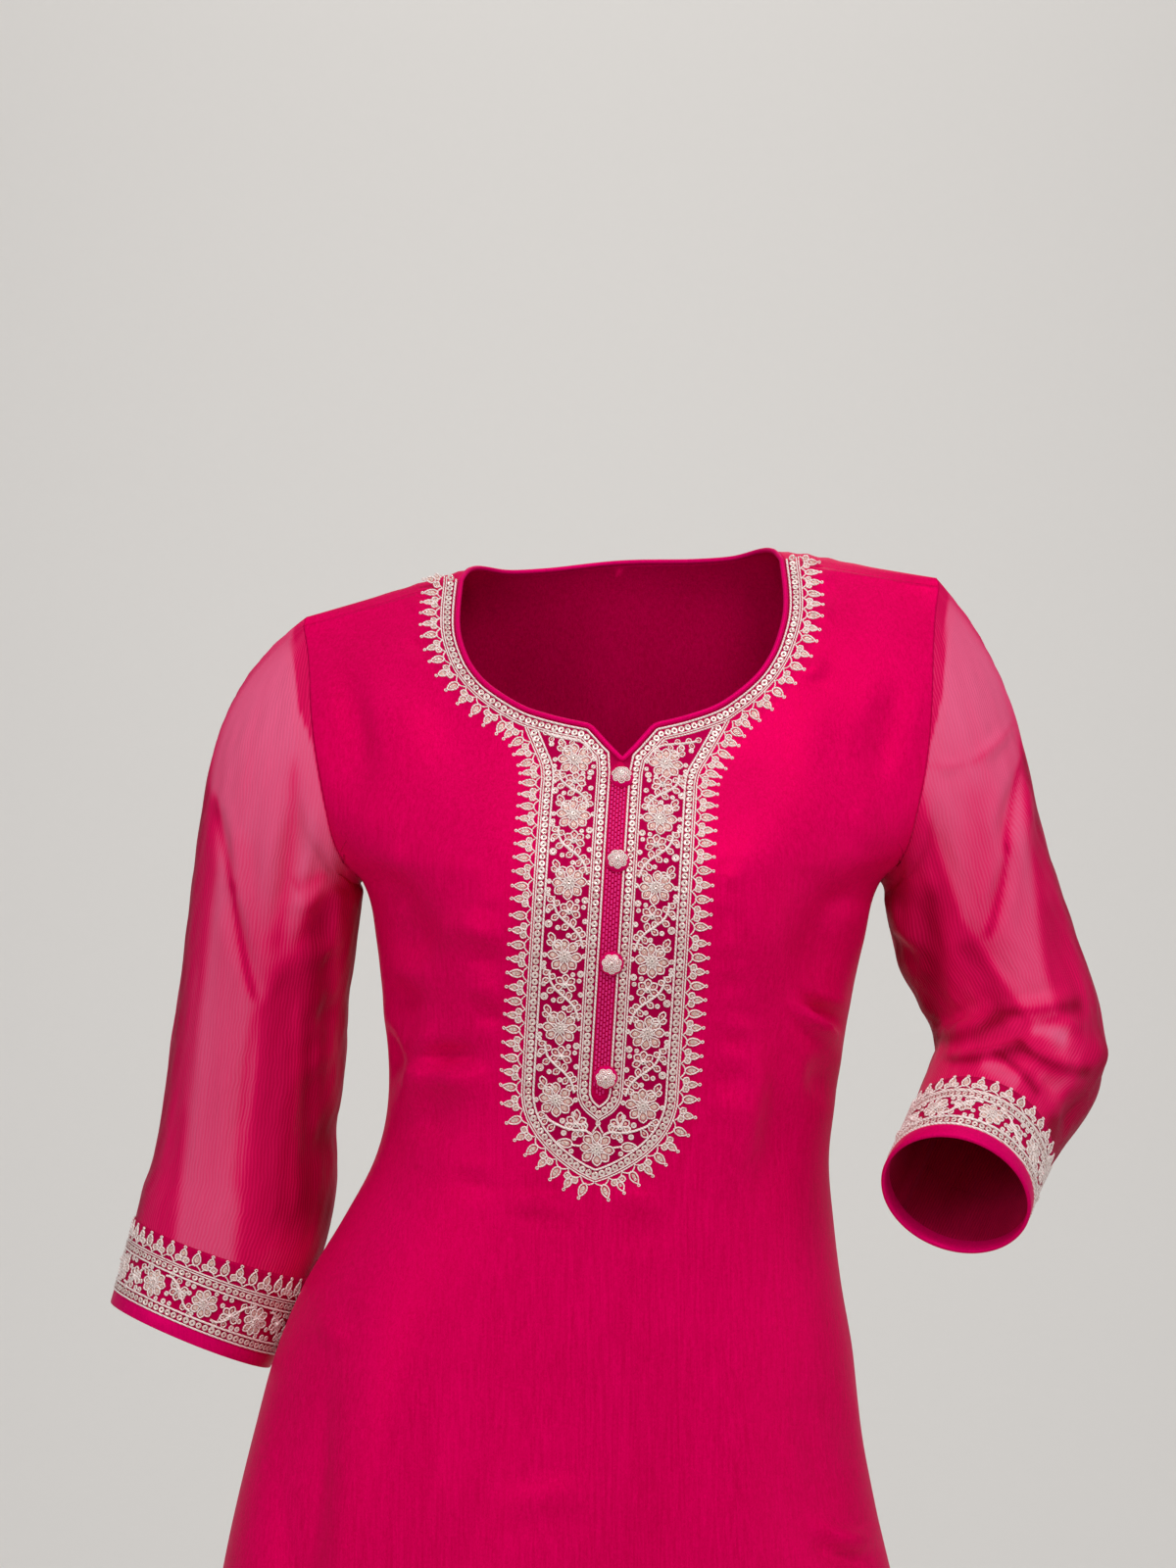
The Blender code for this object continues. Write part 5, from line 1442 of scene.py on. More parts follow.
def yoke_foot(work, shine, frame_, width, side):
    """The last large flower of a side, with the stem that turns in under the placket."""
    big_flower(work, shine, frame_, width, 0.7 * side)
    outer_sprig(work, frame_)
    run = (
        (5.9, 9.7), (3.6, 12.2), (0.4, 13.8), (-5.4, 16.0), (-12.1, 17.1), (-18.4, 17.0),
        (-22.6, 19.2),
    )
    stem(work, frame_, run, 1.45, 24)
    small_flower(work, frame_.turned(-12.9, 13.9, 180), 12.0, 0.2)
    along_the_stem = (
        (6.0, 9.6, 84, 4.2), (4.0, 11.8, 50, 5.0), (-0.4, 14.2, 40, 6.4), (-8.4, 16.7, 176, 3.8),
        (-12.6, 17.4, -4, 4.4), (-18.0, 17.2, 178, 5.4), (-15.4, 17.2, -12, 3.6),
    )
    leaves(work, frame_, along_the_stem, 3.6)
    beside_the_stem = (
        (-4.6, 12.2, 1.4), (-5.8, 19.4, 1.4), (11.7, 1.0, 1.2), (-11.7, -1.0, 1.2),
        (-11.0, 7.6, 1.2),
    )
    loose_rings(work, shine, frame_, beside_the_stem)


def shade_ground(chart, yoke):
    """Mark where painted shade darkens the cloth between the stitches."""
    mesh = bpy.data.objects["kameez_front_cloth"].data
    points = np.zeros(len(mesh.vertices) * 3, np.float32)
    mesh.vertices.foreach_get("co", points)
    points = points.reshape(-1, 3) / MM
    local = chart.flat(points[:, 0], points[:, 2]) - yoke.axis.root
    across, along = np.abs(local @ yoke.axis.side), local @ yoke.axis.ahead
    foot = np.clip((along - ZONE_FOOT) / ZONE_DOUBLE[1], 0, 1)
    half = ZONE_DOUBLE[0] + np.interp(along, ZONE_TOP[:, 1], ZONE_TOP[:, 0])
    half = half * (1 - foot**2.2) ** 0.85
    edge = np.vstack([spaced(yoke.neck(side), 3.0) for side in (-1, 1)]) - yoke.axis.root
    gap = gaps(local, edge).min(1)
    above_tip = along < ZONE_FOOT + 52
    zone = smooth((along + 36) / 6) * above_tip
    painted_stitch_shade = np.maximum(smooth((half - across) / 3 + 0.5) * zone, smooth((10 - gap) / 3 + 0.5))
    # the painted shade is fainter under the fringe
    near = np.maximum(smooth((half + 12 - across) / 6) * zone, smooth((22 - gap) / 6) * above_tip)
    painted_stitch_shade = np.maximum(painted_stitch_shade, near * 0.35)
    mark(mesh, "painted_stitch_shade", painted_stitch_shade)


def build_neck_embroidery():
    chart = FrontChart()
    yoke = Yoke(chart)
    shade_ground(chart, yoke)
    borders, flowers, edge, discs = Needlework(), Needlework(), Needlework(), Needlework()
    yoke_borders(yoke, borders, discs)
    yoke_flowers(yoke, flowers, discs)
    pitch = sizes().fringe_pitch / MM
    for side in (-1, 1):
        fringe_side(edge, discs, fringe_path(yoke, side), pitch, side)
    place(borders.build("neck_cords", chart.lay, "metallic_thread"), "embroidered", "yoke_panel")
    place(flowers.build("neck_flowers", chart.lay, "metallic_thread"), "embroidered")
    place(edge.build("neck_fringe", chart.lay, "metallic_thread"), "embroidered")
    place(discs.build("neck_sequins", chart.lay, "sequins"), "embroidered")
    build_placket(chart, yoke)
    build_buttons(chart)


def fringe_side(edge, discs, path, pitch, side):
    """The fringe of one side. The right one is made like the left one and then mirrored."""
    if side > 0:
        fringe(edge, discs, path, pitch)
        return
    mirrored_edge, mirrored_discs = Needlework(), Needlework()
    fringe(mirrored_edge, mirrored_discs, path * (-1, 1), pitch)
    for source, target in ((mirrored_edge, edge), (mirrored_discs, discs)):
        flat, lift, faces, filled = source.arrays()
        target.put(flat * (-1, 1), lift, faces[:, ::-1], filled)


def build_placket(chart, yoke):
    """The narrow strip under the buttons, with its columns of running stitches."""
    ground, stitches = Needlework(), Needlework()
    rows = np.linspace(-0.5, PLACKET_FOOT - 1.5, 120)
    share = np.clip((rows - (PLACKET_FOOT - 8)) / 6.5, 0, 1)
    half = (EDGE_HALF + 1.0) * np.sqrt(np.maximum(0.02, 1 - share**2))
    half = np.minimum(half, np.maximum(0.4, (rows + 1.5) * 0.9))
    across = np.linspace(-1, 1, 9)
    down = np.broadcast_to(rows[:, None], (len(rows), len(across)))
    flat = yoke.axis.at(half[:, None] * across, down).reshape(-1, 2)
    lift = np.broadcast_to(0.35 - 0.25 * np.abs(across) ** 4, down.shape).ravel()
    ground.put(flat, lift, np.array(grid_faces(*down.shape, flip=True)))
    piece = ground.build("placket_strip", chart.lay, "placket_ground")
    place(piece, "piping", "placket")
    for k, column in enumerate(STITCH_COLUMNS):
        start = 5.0 + abs(column) * 0.2 + (1.6 if k % 2 else 0.0)
        stop = PLACKET_FOOT - 5.5 - abs(column) * 1.1
        for down in np.arange(start, stop, STITCH_PITCH):
            path = yoke.axis.at(np.full(4, column), np.linspace(down, down + STITCH_LONG, 4))
            stitches.thread(path, 1.2, base=0.25)
    place(stitches.build("placket_stitches", chart.lay, "pink_thread"), "piping")


def button_top(chart, number):
    """A button's place on the cloth, the way out of it, and the ways across and along."""
    low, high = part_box(f"button_{number}")
    middle = (np.array(low) + np.array(high)) / 2 / MM
    root = chart.flat(np.array([middle[0]]), np.array([middle[2]]))
    base = chart.lay(root, np.array([0.0]))[0]
    out = unit(chart.lay(root, np.array([1.0]))[0] - base)
    across = unit(np.array([1.0, 0.0, 0.0]) - out * out[0])
    return base, out, across, np.cross(out, across)


def button_dome(base, out, across, along):
    """Rings of a cloth-covered dome, from its shank to its crown."""
    turn = whole_turn(36)[:, None]
    way = across * np.cos(turn) + along * np.sin(turn)
    rings = []
    for share in np.linspace(0, 1, 12):
        angle = share * math.pi / 2
        cosine = math.cos(max(0.0, angle - 0.06 * (1 - share)))
        radius = max(BUTTON_RADIUS * max(0.0, cosine) ** 0.85, 0.02)
        radius = radius * (1 + 0.012 * np.cos(9 * turn) * (1 - share))
        rings.append(base + out * (BUTTON_LIFT + BUTTON_HEIGHT * math.sin(angle)) + way * radius)
    shank = base + (rings[0] - base) * 0.94 - out * 0.1
    return np.array([shank, *rings])


def on_dome(top, flat, lift):
    """Places of a button's flat chart on its dome."""
    base, out, across, along = top
    span = np.linalg.norm(flat, axis=1)
    angle = np.minimum(span / (BUTTON_RADIUS * 1.02), 1.35)
    radius, height = BUTTON_RADIUS * np.sin(angle) * 0.97, BUTTON_HEIGHT * np.cos(angle)
    way = flat / np.maximum(span, 1e-6)[:, None]
    way = across * way[:, :1] + along * way[:, 1:]
    normal = out * np.cos(angle)[:, None] + way * np.sin(angle)[:, None]
    dome = base + out * (height + BUTTON_LIFT)[:, None] + way * radius[:, None]
    return dome + normal * lift[:, None]


def build_buttons(chart):
    """Cloth-covered domes, each with a flower of sequins."""
    tops = {number: button_top(chart, number) for number in range(1, 5)}
    for number, top in tops.items():
        rings = button_dome(*top)
        piece = tube_mesh(f"button_dome_{number}", rings, finish("piping_satin"), flip=True)
        place(piece, "buttons", f"button_{number}")
    petals, discs = Needlework(), Needlework()
    for k in range(BUTTON_PETALS):
        a = 2 * math.pi * (k + 0.25) / BUTTON_PETALS
        spot = BUTTON_RADIUS * 0.62 * np.array([math.cos(a), math.sin(a)])
        petals.patch(ring_points(spot, 2.1, 10), 0.1, 0.2, 0.3, 1)
        ring(petals, spot, 2.15, 0.85)
        discs.sequin(spot, 1.45, 0.45)
    petals.patch(ring_points((0, 0), 2.0, 10), 0.4, 0.5, 0.2)
    discs.sequin((0, 0), 1.3, 1.1)
    for name, work, material_name in (
        ("button_petals", petals, "metallic_thread"),
        ("button_sequins", discs, "sequins"),
    ):
        flat, lift, faces, filled = work.arrays()
        points = np.vstack([on_dome(top, flat, lift) for top in tops.values()])
        every = np.vstack([faces + k * len(flat) for k in range(len(tops))])
        filled = np.tile(filled, len(tops))
        place(stitched(name, points, every, filled, material_name), "buttons")


# ---- sleeves


def arm_frames(arm):
    """Centres, outward and forward directions and half widths down the arm's table."""
    rows = np.array(ARMS[arm], float)
    centres = rows[:, :3]
    outward, frames = np.array((SIDES[arm], 0.0, 0.0)), []
    for k, row in enumerate(rows):
        before, after = centres[max(0, k - 1)], centres[min(len(rows) - 1, k + 1)]
        axis = unit(after - before)
        outward = unit(outward - axis * (outward @ axis))
        forward = np.cross(axis, outward)
        if forward[1] > 0:
            forward = -forward
        frames.append(np.concatenate([centres[k], outward, forward, row[3:]]))
    frames = np.array(frames)
    lengths = np.concatenate([[0], np.cumsum(steps(centres))])
    return frames, lengths


class Sleeve:
    """A sleeve's cloth: a turn round the arm, and a distance below the underarm (minus on the
    cap)."""

    def __init__(self, arm):
        self.arm, self.side = arm, SIDES[arm]
        self.frames, self.lengths = arm_frames(arm)
        self.long = self.lengths[-1]
        self.loop = self.armhole()
        self.turns = whole_turn(len(self.loop))
        self.axis = unit(self.frames[1, :3] - self.frames[0, :3])

    def armhole(self):
        edges = [half_panel(panel, self.side)[: NOTCH * ROW_PARTS + 1, -1] for panel in (-1, 1)]
        front, back = edges
        top, under = (front[0] + back[0]) / 2, (front[-1] + back[-1]) / 2
        return np.vstack([[top], front[1:-1], [under], back[1:-1][::-1]])

    def frame_at(self, along):
        """The arm's centre, directions and half widths at distances along it."""
        at = np.interp(along, self.lengths, np.arange(len(self.lengths)))
        return through(self.frames, at)

    def tube(self, along, turn):
        """Plain points of the arm's tube."""
        along, turn = np.broadcast_arrays(np.asarray(along, float), np.asarray(turn, float))
        row = self.frame_at(along)
        outward = unit(row[..., 3:6]) * (row[..., 9] * np.cos(turn))[..., None]
        forward = unit(row[..., 6:9]) * (row[..., 10] * np.sin(turn))[..., None]
        return row[..., :3] + outward + forward

    def rear(self):
        """1 out of the front view, 0 in it."""
        return smooth(0.5 - np.sin(self.turns) * 2.2)

    def creases(self, points, along, turn):
        """Rise of the creases at points of the plain sleeve."""
        front = crease_rise(points[..., 0], points[..., 2], SLEEVE_CREASES[self.arm])
        degrees = np.degrees(turn) % 360
        rear = 0.0
        for t0, a0, t1, a1, wide, much in REAR_CREASES[self.arm]:
            run = ((t1 - t0 + 180) % 360 - 180) * ARM_DEGREE, a1 - a0
            long = math.hypot(*run)
            x, y = ((degrees - t0 + 180) % 360 - 180) * ARM_DEGREE, along - a0
            share = (x * run[0] + y * run[1]) / long**2
            rear = rear + much * ripple((x * run[1] - y * run[0]) / long / wide, share)
        hem = smooth((self.long - PLAIN_END - along) / 26)
        fine = 0.5 * np.sin(degrees * 0.42 + along * 0.05) * np.sin(along * 0.11 + degrees * 0.05)
        behind = self.rear()
        return (front * (1 - behind) + (rear * 1.25 + fine) * sizes().crease) * hem

    def folds_and_painted_light(self, points, turn):
        """How deep the cloth's colour and cover are: 0 where it is drawn over the arm, painted
        palest as painted light, 1 in its deepest folds, partly layered cloth and partly painted
        shade.
        """
        x, z = points[..., 0], points[..., 2]
        rows = np.array(PAINTED_LIGHT_BAND[self.arm], float)[::-1]
        left, right, least, soft = (np.interp(z, rows[:, 0], rows[:, k]) for k in (1, 2, 3, 4))
        outside = np.maximum(smooth((left - x) / 8 + 0.5), smooth((x - right) / soft + 0.5))
        base = least + (HANGING - least) * outside
        base = base + folds(x, z, FOLD_AND_SHADE_BANDS[self.arm], streak)
        # seen edge on at the sides of the arm, the cloth is painted deeper: more layers in view,
        # and painted shade
        edge = 1 - np.abs(np.sin(turn))
        base = base + 0.3 * smooth((edge - 0.35) / 0.6) * smooth((-60 - z) / 60)
        behind = self.rear()
        # out of the front view the cloth is painted deeper at the sides and towards the cuff, as
        # layered cloth and painted shade
        rear = 0.3 + 0.2 * edge + 0.45 * smooth((DEEP_BELOW[self.arm] - z) / 50)
        return np.clip(base * (1 - behind) + rear * behind, 0.0, DEEPEST)

    def rings(self):
        """Rings from the armhole down to the end of the embroidered band."""
        end = self.tube(0.0, self.turns)
        reach = np.linalg.norm(end - self.loop, axis=1)[:, None] * CAP_LIFT
        away = unit(unit(end - self.loop) * 0.5 + CAP_DIRECTION[self.arm] * 0.5)
        begin = self.loop + away * CAP_GAP
        second, third = begin + CAP_DIRECTION[self.arm] * reach, end - self.axis * reach
        span = np.linalg.norm(end - begin, axis=1)
        points, alongs = [], []
        for t in np.linspace(0, 1, CAP_RINGS + 1):
            s = 1 - t
            handles = second * 3 * s * s * t + third * 3 * s * t * t
            points.append(begin * s**3 + handles + end * t**3)
            alongs.append(-span * s)
        last = self.long - HEM_BAND
        for along in np.linspace(0, last, ARM_RINGS + 1)[1:]:
            points.append(self.tube(along, self.turns))
            alongs.append(np.full(len(self.turns), along))
        return np.array(points), np.array(alongs)

    def down_the_arm(self, points, alongs):
        """Turn round the arm and distance down its axis, carried straight up over the cap."""
        row = self.frames[0]
        away = points - row[:3]
        across = away @ unit(row[3:6]) / row[9]
        cap = alongs < 0
        face = np.tanh(np.sin(self.turns) * (4 + 40 * (1 - smooth(-alongs / CAP_SETTLES))))
        reach = np.sqrt(np.maximum(1 - across**2, 0.02)) * face
        along = np.where(cap, np.minimum(away @ self.axis, 0), alongs)
        turn = np.where(cap, np.arctan2(reach, across), self.turns) % (2 * np.pi)
        round_ = (turn - SLEEVE_SEAM) % (2 * np.pi) * ARM_RADIUS
        return along, turn, np.stack([round_, along * 0, along], -1)

    def outward(self, points):
        down = np.gradient(points, axis=0)
        side = np.roll(points, -1, axis=1) - np.roll(points, 1, axis=1)
        normal = unit(np.cross(down, side))
        middle = points.mean(1, keepdims=True)
        flip = ((points - middle) * normal).sum(-1).mean() < 0
        return -normal if flip else normal

    def cloth(self):
        points, alongs = self.rings()
        along, turn, _ = self.down_the_arm(points, alongs)
        rise = self.creases(points, along, turn) * smooth((alongs - alongs[0]) / CAP_SETTLES) * 0.75
        return points + self.outward(points) * rise[..., None], alongs

    def lay(self, flat, lift):
        """Places round the cuff (distance round it, distance above the hem band) on the cloth."""
        along = self.long - HEM_BAND - flat[:, 1]
        turn = 2 * np.pi * flat[:, 0] / self.cuff_round
        here = self.tube(along, turn)
        down = self.tube(along + 0.5, turn) - here
        side = self.tube(along, turn + 0.01) - here
        normal = unit(np.cross(down, side))
        inward = ((here - self.frame_at(along)[:, :3]) * normal).sum(-1) < 0
        normal[inward] *= -1
        return here + normal * (lift + 1.0)[:, None]

    @property
    def cuff_round(self):
        row = self.tube(self.long - HEM_BAND - CUFF_PANEL / 2, np.linspace(0, 2 * np.pi, 200))
        return steps(row).sum()


def facing_width(turns):
    """The facing is widest over the shoulder and narrows to the underarm."""
    return FACING_UNDER + FACING_WIDER * (0.5 + 0.5 * np.cos(turns))


def build_sleeve(arm):
    sleeve = Sleeve(arm)
    points, alongs = sleeve.cloth()
    piece = tube_mesh(f"sleeve_cloth_{arm}", points, finish("sheer_chiffon"), flip=arm == "left")
    turn, threads = sleeve.down_the_arm(*sleeve.rings())[1:]
    seam = alongs - alongs[0]
    allowance = SEAM_UNDER + SEAM_WIDER * smooth((np.cos(sleeve.turns) + 0.1) / 0.9)
    faced = smooth((allowance - seam) / 1.4) * HANGING
    mark(piece.data, "fold_and_light_depth", np.maximum(sleeve.folds_and_painted_light(points, turn), faced))
    mark(piece.data, "down_the_arm", threads * MM, "FLOAT_VECTOR")
    place(piece, "sheer", f"sleeve_{arm}")
    # the facing inside the armhole, of the body cloth
    facing = []
    normal = sleeve.outward(points)
    span = -alongs[0]
    for share in np.linspace(0, 1, 8):
        at = np.clip(share * facing_width(sleeve.turns) / span * CAP_RINGS, 0, CAP_RINGS - 1)
        low = np.floor(at).astype(int)
        t = (at - low)[:, None]
        k = np.arange(len(span))
        here = points[low, k] * (1 - t) + points[low + 1, k] * t
        facing.append(here - normal[low, k] * (0.5 + 0.25 * share))
    name = f"armhole_facing_cloth_{arm}"
    piece = tube_mesh(name, facing, finish("satin_crepe"), flip=arm == "left")
    place(piece, "crepe", f"armhole_facing_{arm}")


def build_cuff(arm):
    """The embroidered band and the folded hem of a sleeve."""
    sleeve = Sleeve(arm)
    about = sleeve.cuff_round
    turns = np.linspace(0, about, 140, endpoint=False)

    def cuff_ring(up, lift):
        return sleeve.lay(np.stack([turns, np.full(len(turns), up)], -1), np.full(len(turns), lift))

    ups = np.linspace(CUFF_PANEL - 0.5, 0.0, 24)
    ground = [cuff_ring(up, -0.7 if up > CUFF_PANEL - 1 else -0.35) for up in ups]
    piece = tube_mesh(f"cuff_ground_{arm}", ground, finish("cuff_ground"), flip=arm == "left")
    place(thicken(piece, 0.4), "embroidered", f"cuff_panel_{arm}")
    hem = [cuff_ring(up, lift) for up, lift in CUFF_HEM_SECTION]
    piece = tube_mesh(f"cuff_hem_band_{arm}", hem, finish("piping_satin"), flip=arm == "left")
    place(piece, "piping", f"cuff_hem_{arm}")
    work, shine = Needlework(), Needlework()
    cuff_needlework(work, shine, about)
    place(work.build(f"cuff_threads_{arm}", sleeve.lay, "metallic_thread"), "embroidered")
    place(shine.build(f"cuff_sequins_{arm}", sleeve.lay, "sequins"), "embroidered")


def cuff_needlework(work, shine, about):
    """Fringe, borders and flowers round a cuff. Across is round it, and up is away from the hem."""
    size = sizes()
    cord, disc = size.cord / MM, size.sequin / MM / 2
    line = np.stack([np.linspace(0, about, int(about / 2.2)), np.zeros(int(about / 2.2))], -1)

    def level(up):
        return line + (0.0, up)

    for up in CUFF_CORDS:
        work.thread(level(up), cord * 1.2)
    count = round(about / (size.sequin_pitch / MM))
    for up in CUFF_SEQUINS:
        sequin_row(shine, level(up), about / count, disc * 0.94)
    double_cord(work, level(CUFF_DOUBLE), cord)
    leaf_count = 2 * round(about / (size.fringe_pitch / MM) / 2)
    fringe(work, shine, level(CUFF_DOUBLE + 0.7)[::-1], about / leaf_count)
    flowers = round(about / CUFF_FLOWER_PITCH)
    step = about / flowers
    for k in range(flowers):
        cuff_repeat(work, shine, Motif((step * (k + 0.5), CUFF_VINE), (1.0, 0.0), -1), step, k)


def cuff_repeat(work, shine, frame_, pitch, k):
    """A large flower, a vine and a small flower along the cuff."""
    big_flower(work, shine, frame_, 16.6, 0.9 * k)
    hand = -1 if k % 2 else 1
    small_flower(work, frame_.turned(-hand * 1.8, pitch * 0.5, hand * 90), 10.4)
    vine = (
        (hand * -6.8, pitch * 0.20), (hand * -7.0, pitch * 0.32), (hand * -4.4, pitch * 0.46),
        (hand * 1.4, pitch * 0.60), (hand * 5.4, pitch * 0.70), (hand * 6.8, pitch * 0.82),
    )
    stem(work, frame_, vine, 1.25, 18)
    along_the_vine = (
        (-7.0, 0.27, -60, 3.8), (-6.6, 0.34, 50, 4.0), (-4.8, 0.44, -70, 3.8),
        (0.6, 0.58, -60, 3.6), (3.6, 0.65, 70, 4.2), (5.8, 0.72, -40, 4.0), (6.8, 0.79, 64, 3.6),
    )
    leaves(work, frame_, along_the_vine, 3.2, 0.95, pitch, hand)
    beside_the_flowers = (
        (7.3, 0.30, 1.3), (7.2, 0.42, 1.1), (-7.3, 0.62, 1.3), (-7.0, 0.73, 1.2), (-2.6, 0.70, 1.1),
        (2.6, 0.31, 1.1), (7.6, 0.14, 1.0), (-7.7, -0.14, 1.0),
    )
    loose_rings(work, shine, frame_, beside_the_flowers, pitch, hand)


# ---- salwar


def ring_turns():
    """Sines and sides (front -1, back 1) right round a section, from the centre front."""
    turn = whole_turn(WAIST_COUNT)
    return np.sin(turn), np.where(np.cos(turn) > -1e-9, -1, 1)


def waist_ring(level, inset):
    """The kameez's own ring at this level, drawn in on every side."""
    sine, panel = ring_turns()
    points = np.where((panel < 0)[:, None], torso(level, sine, -1), torso(level, sine, 1))
    run = np.roll(points, -1, axis=0) - np.roll(points, 1, axis=0)
    way = unit(np.stack([-run[:, 1], run[:, 0], run[:, 0] * 0], -1))
    return points + way * inset


def rounded(half, front, back, angle):
    sine = np.sin(angle)
    depth = np.where(sine > 0, back, -front)
    return half * np.cos(angle), np.copysign(np.abs(sine) ** 0.8, sine) * depth


def gathers(turn, share, depth):
    """Small uneven gathers that fade down the cloth."""
    uneven = np.sin(34 * turn) + 0.6 * np.sin(21 * turn + 1.3) + 0.4 * np.sin(55 * turn)
    return depth * share * uneven


def build_waist():
    """The drawstring casing and the belt under it."""
    turn = whole_turn(WAIST_COUNT)
    rings = []
    for level, way in WAIST_SECTION:
        ring_ = waist_ring(level, WAIST_INSET + way)
        inward = waist_ring(level, WAIST_INSET + way + 1.0) - ring_
        rings.append(ring_ + inward * (0.5 + gathers(turn, 1.0, 0.22))[:, None])
    piece = tube_mesh("salwar_waistband_cloth", rings, finish("salwar_satin"))
    place(piece, "salwar_crepe", "salwar_waistband")
    row = read(LEG, BELT_FOOT)
    rings = []
    sine, panel = ring_turns()
    for level in np.linspace(WAIST_FOOT - 0.7, BELT_FOOT, 40):
        share = smooth((WAIST_FOOT - level) / (WAIST_FOOT - BELT_FOOT))
        upper = waist_ring(level, WAIST_INSET + 3.5)
        angle = np.arcsin(panel * np.sqrt(np.maximum(0.0, 1 - sine * sine)))
        x, y = rounded(row[1], row[2], row[3], angle)
        lower = np.stack([LEG_CENTRE + np.copysign(x, sine), y, np.full(WAIST_COUNT, level)], -1)
        ring_ = upper * (1 - share) + lower * share
        middle = ring_.mean(0)
        inward = unit((middle - ring_) * (1, 1, 0))
        fade = smooth((level - BELT_FOOT) / 80) * 0.6 + 0.1
        rings.append(ring_ + inward * (0.6 + gathers(turn, fade, 0.7))[:, None])
    piece = tube_mesh("salwar_belt_cloth", rings, finish("salwar_satin"))
    place(thicken(piece, CLOTH), "salwar_crepe", "salwar_belt")


def leg_line(side, level, extra=0.0, inset=0.0):
    """A row of a leg from the centre front round its outer side to the centre back."""
    centre, half, front, back, pleat = read(LEG, level)
    reach = centre - LEG_GAP / 2
    limit = math.acos(max(-1.0, -reach / half)) if half > reach else math.pi
    angle = limit * np.linspace(-1, 1, LEG_COUNT)
    fade = np.sqrt(np.maximum(0.0, np.cos(angle * np.pi / 2 / limit)))
    grow = pleat * np.cos(4 * angle * np.pi / limit) * fade
    grow = grow + extra * fade * (
        0.45 * np.cos(11 * angle + level * 0.004) + 0.3 * np.cos(17 * angle + 1.0 - level * 0.003)
    )
    grow = grow - inset
    x, y = rounded(half + grow, front - grow, back + grow, angle)
    away = np.maximum(LEG_GAP / 2 + inset, centre + x)
    line = np.stack([LEG_CENTRE + side * away, y, np.full(LEG_COUNT, level)], -1)
    if limit == math.pi:
        line[-1] = line[0]
    return line


def build_leg(arm):
    side = SIDES[arm]
    rows = []
    for level in LEG_LEVELS:
        share = smooth((BELT_FOOT - level) / 90) * smooth((level - ANKLE - PONCHA + 4) / 60)
        extra = 4.2 * share + 1.6 * smooth((level - ANKLE - PONCHA + 2) / 14) * (1 - share)
        # cloth breaks into soft folds over the poncha
        sag = 2.0 * np.sin((level + 1345) / 9.0) * bell((level + 1310) / 46)
        rows.append(leg_line(side, level, extra=extra, inset=0.4 - sag))
    rows = np.array(rows)
    faces = grid_faces(rows.shape[0], rows.shape[1], flip=side < 0)
    piece = add_mesh(f"salwar_leg_cloth_{arm}", rows.reshape(-1, 3), faces, finish("salwar_satin"))
    place(thicken(weld(piece), CLOTH), "salwar_crepe", f"salwar_leg_{arm}")
    top = ANKLE + PONCHA
    band = [leg_line(side, top + up, inset=inset - 0.4)[:-1] for up, inset in PONCHA_SECTION]
    piece = tube_mesh(f"salwar_poncha_cloth_{arm}", band, finish("salwar_satin"), flip=side < 0)
    place(piece, "salwar_crepe", f"salwar_poncha_{arm}")


# ---- stage


def area_light(name, spot, target, size, power, tint):
    data = bpy.data.lights.new(name, "AREA")
    data.shape, data.size, data.energy, data.color = "DISK", size, power, tint
    made = bpy.data.objects.new(name, data)
    made.location = spot
    way = np.array(target) - np.array(spot)
    flat = math.hypot(way[0], way[1])
    made.rotation_euler = (math.atan2(flat, -way[2]), 0.0, math.atan2(-way[0], way[1]))
    bpy.context.scene.collection.objects.link(made)


def build_sweep(pale):
    """A pale floor that sweeps up behind."""
    paper, tree, shader = new_finish("stage_paper", pale, 0.9, 0.1)
    grain = noise(tree, stretched(tree, (1, 1, 1)), 60.0)
    wire(tree, shader, {"Base Color": blend_colour(tree, grain, toned(pale, 0.985), pale)})
    profile = [(-STAGE_HALF, STAGE_FLOOR)]
    for a in np.linspace(0, math.pi / 2, 25):
        y = STAGE_BACK - STAGE_BEND * (1 - math.sin(a))
        profile.append((y, STAGE_FLOOR + STAGE_BEND * (1 - math.cos(a))))
    profile.append((STAGE_BACK, STAGE_RISE))
    points = [(x, y, z) for y, z in profile for x in (-STAGE_HALF, STAGE_HALF)]
    faces = [(2 * k, 2 * k + 1, 2 * k + 3, 2 * k + 2) for k in range(len(profile) - 1)]
    add_mesh("stage_sweep", points, faces, paper)


def build_stage():
    """The floor and backdrop, soft lights and the camera."""
    scene = bpy.context.scene
    build_sweep(tuple(scene.suit_stage.floor))
    for name, spot, target, size, share, tint in LIGHTS:
        area_light(name, spot, target, size, scene.suit_stage.key * share, tint)
    scene.world = bpy.data.worlds.new("studio")
    scene.world.use_nodes = True
    tree = scene.world.node_tree
    wire(tree, tree.nodes["Background"], {"Color": (0.95, 0.96, 1.0, 1.0), "Strength": 0.36})
    scene.view_settings.view_transform = "Standard"
    data = bpy.data.cameras.new("camera")
    data.lens, data.sensor_width = CAMERA_LENS, CAMERA_SENSOR
    data.dof.use_dof = False
    scene.camera = bpy.data.objects.new("camera", data)
    scene.camera.location = CAMERA_SPOT
    scene.camera.rotation_euler = (math.radians(90), 0.0, 0.0)
    scene.collection.objects.link(scene.camera)


# ---- operators


class SUIT_OT_stage(bpy.types.Operator):
    """Lay the floor, hang the lights and set the camera"""

    bl_idname = "suit.stage"
    bl_label = "Stage"

    def execute(self, context):
        build_stage()
        return {"FINISHED"}


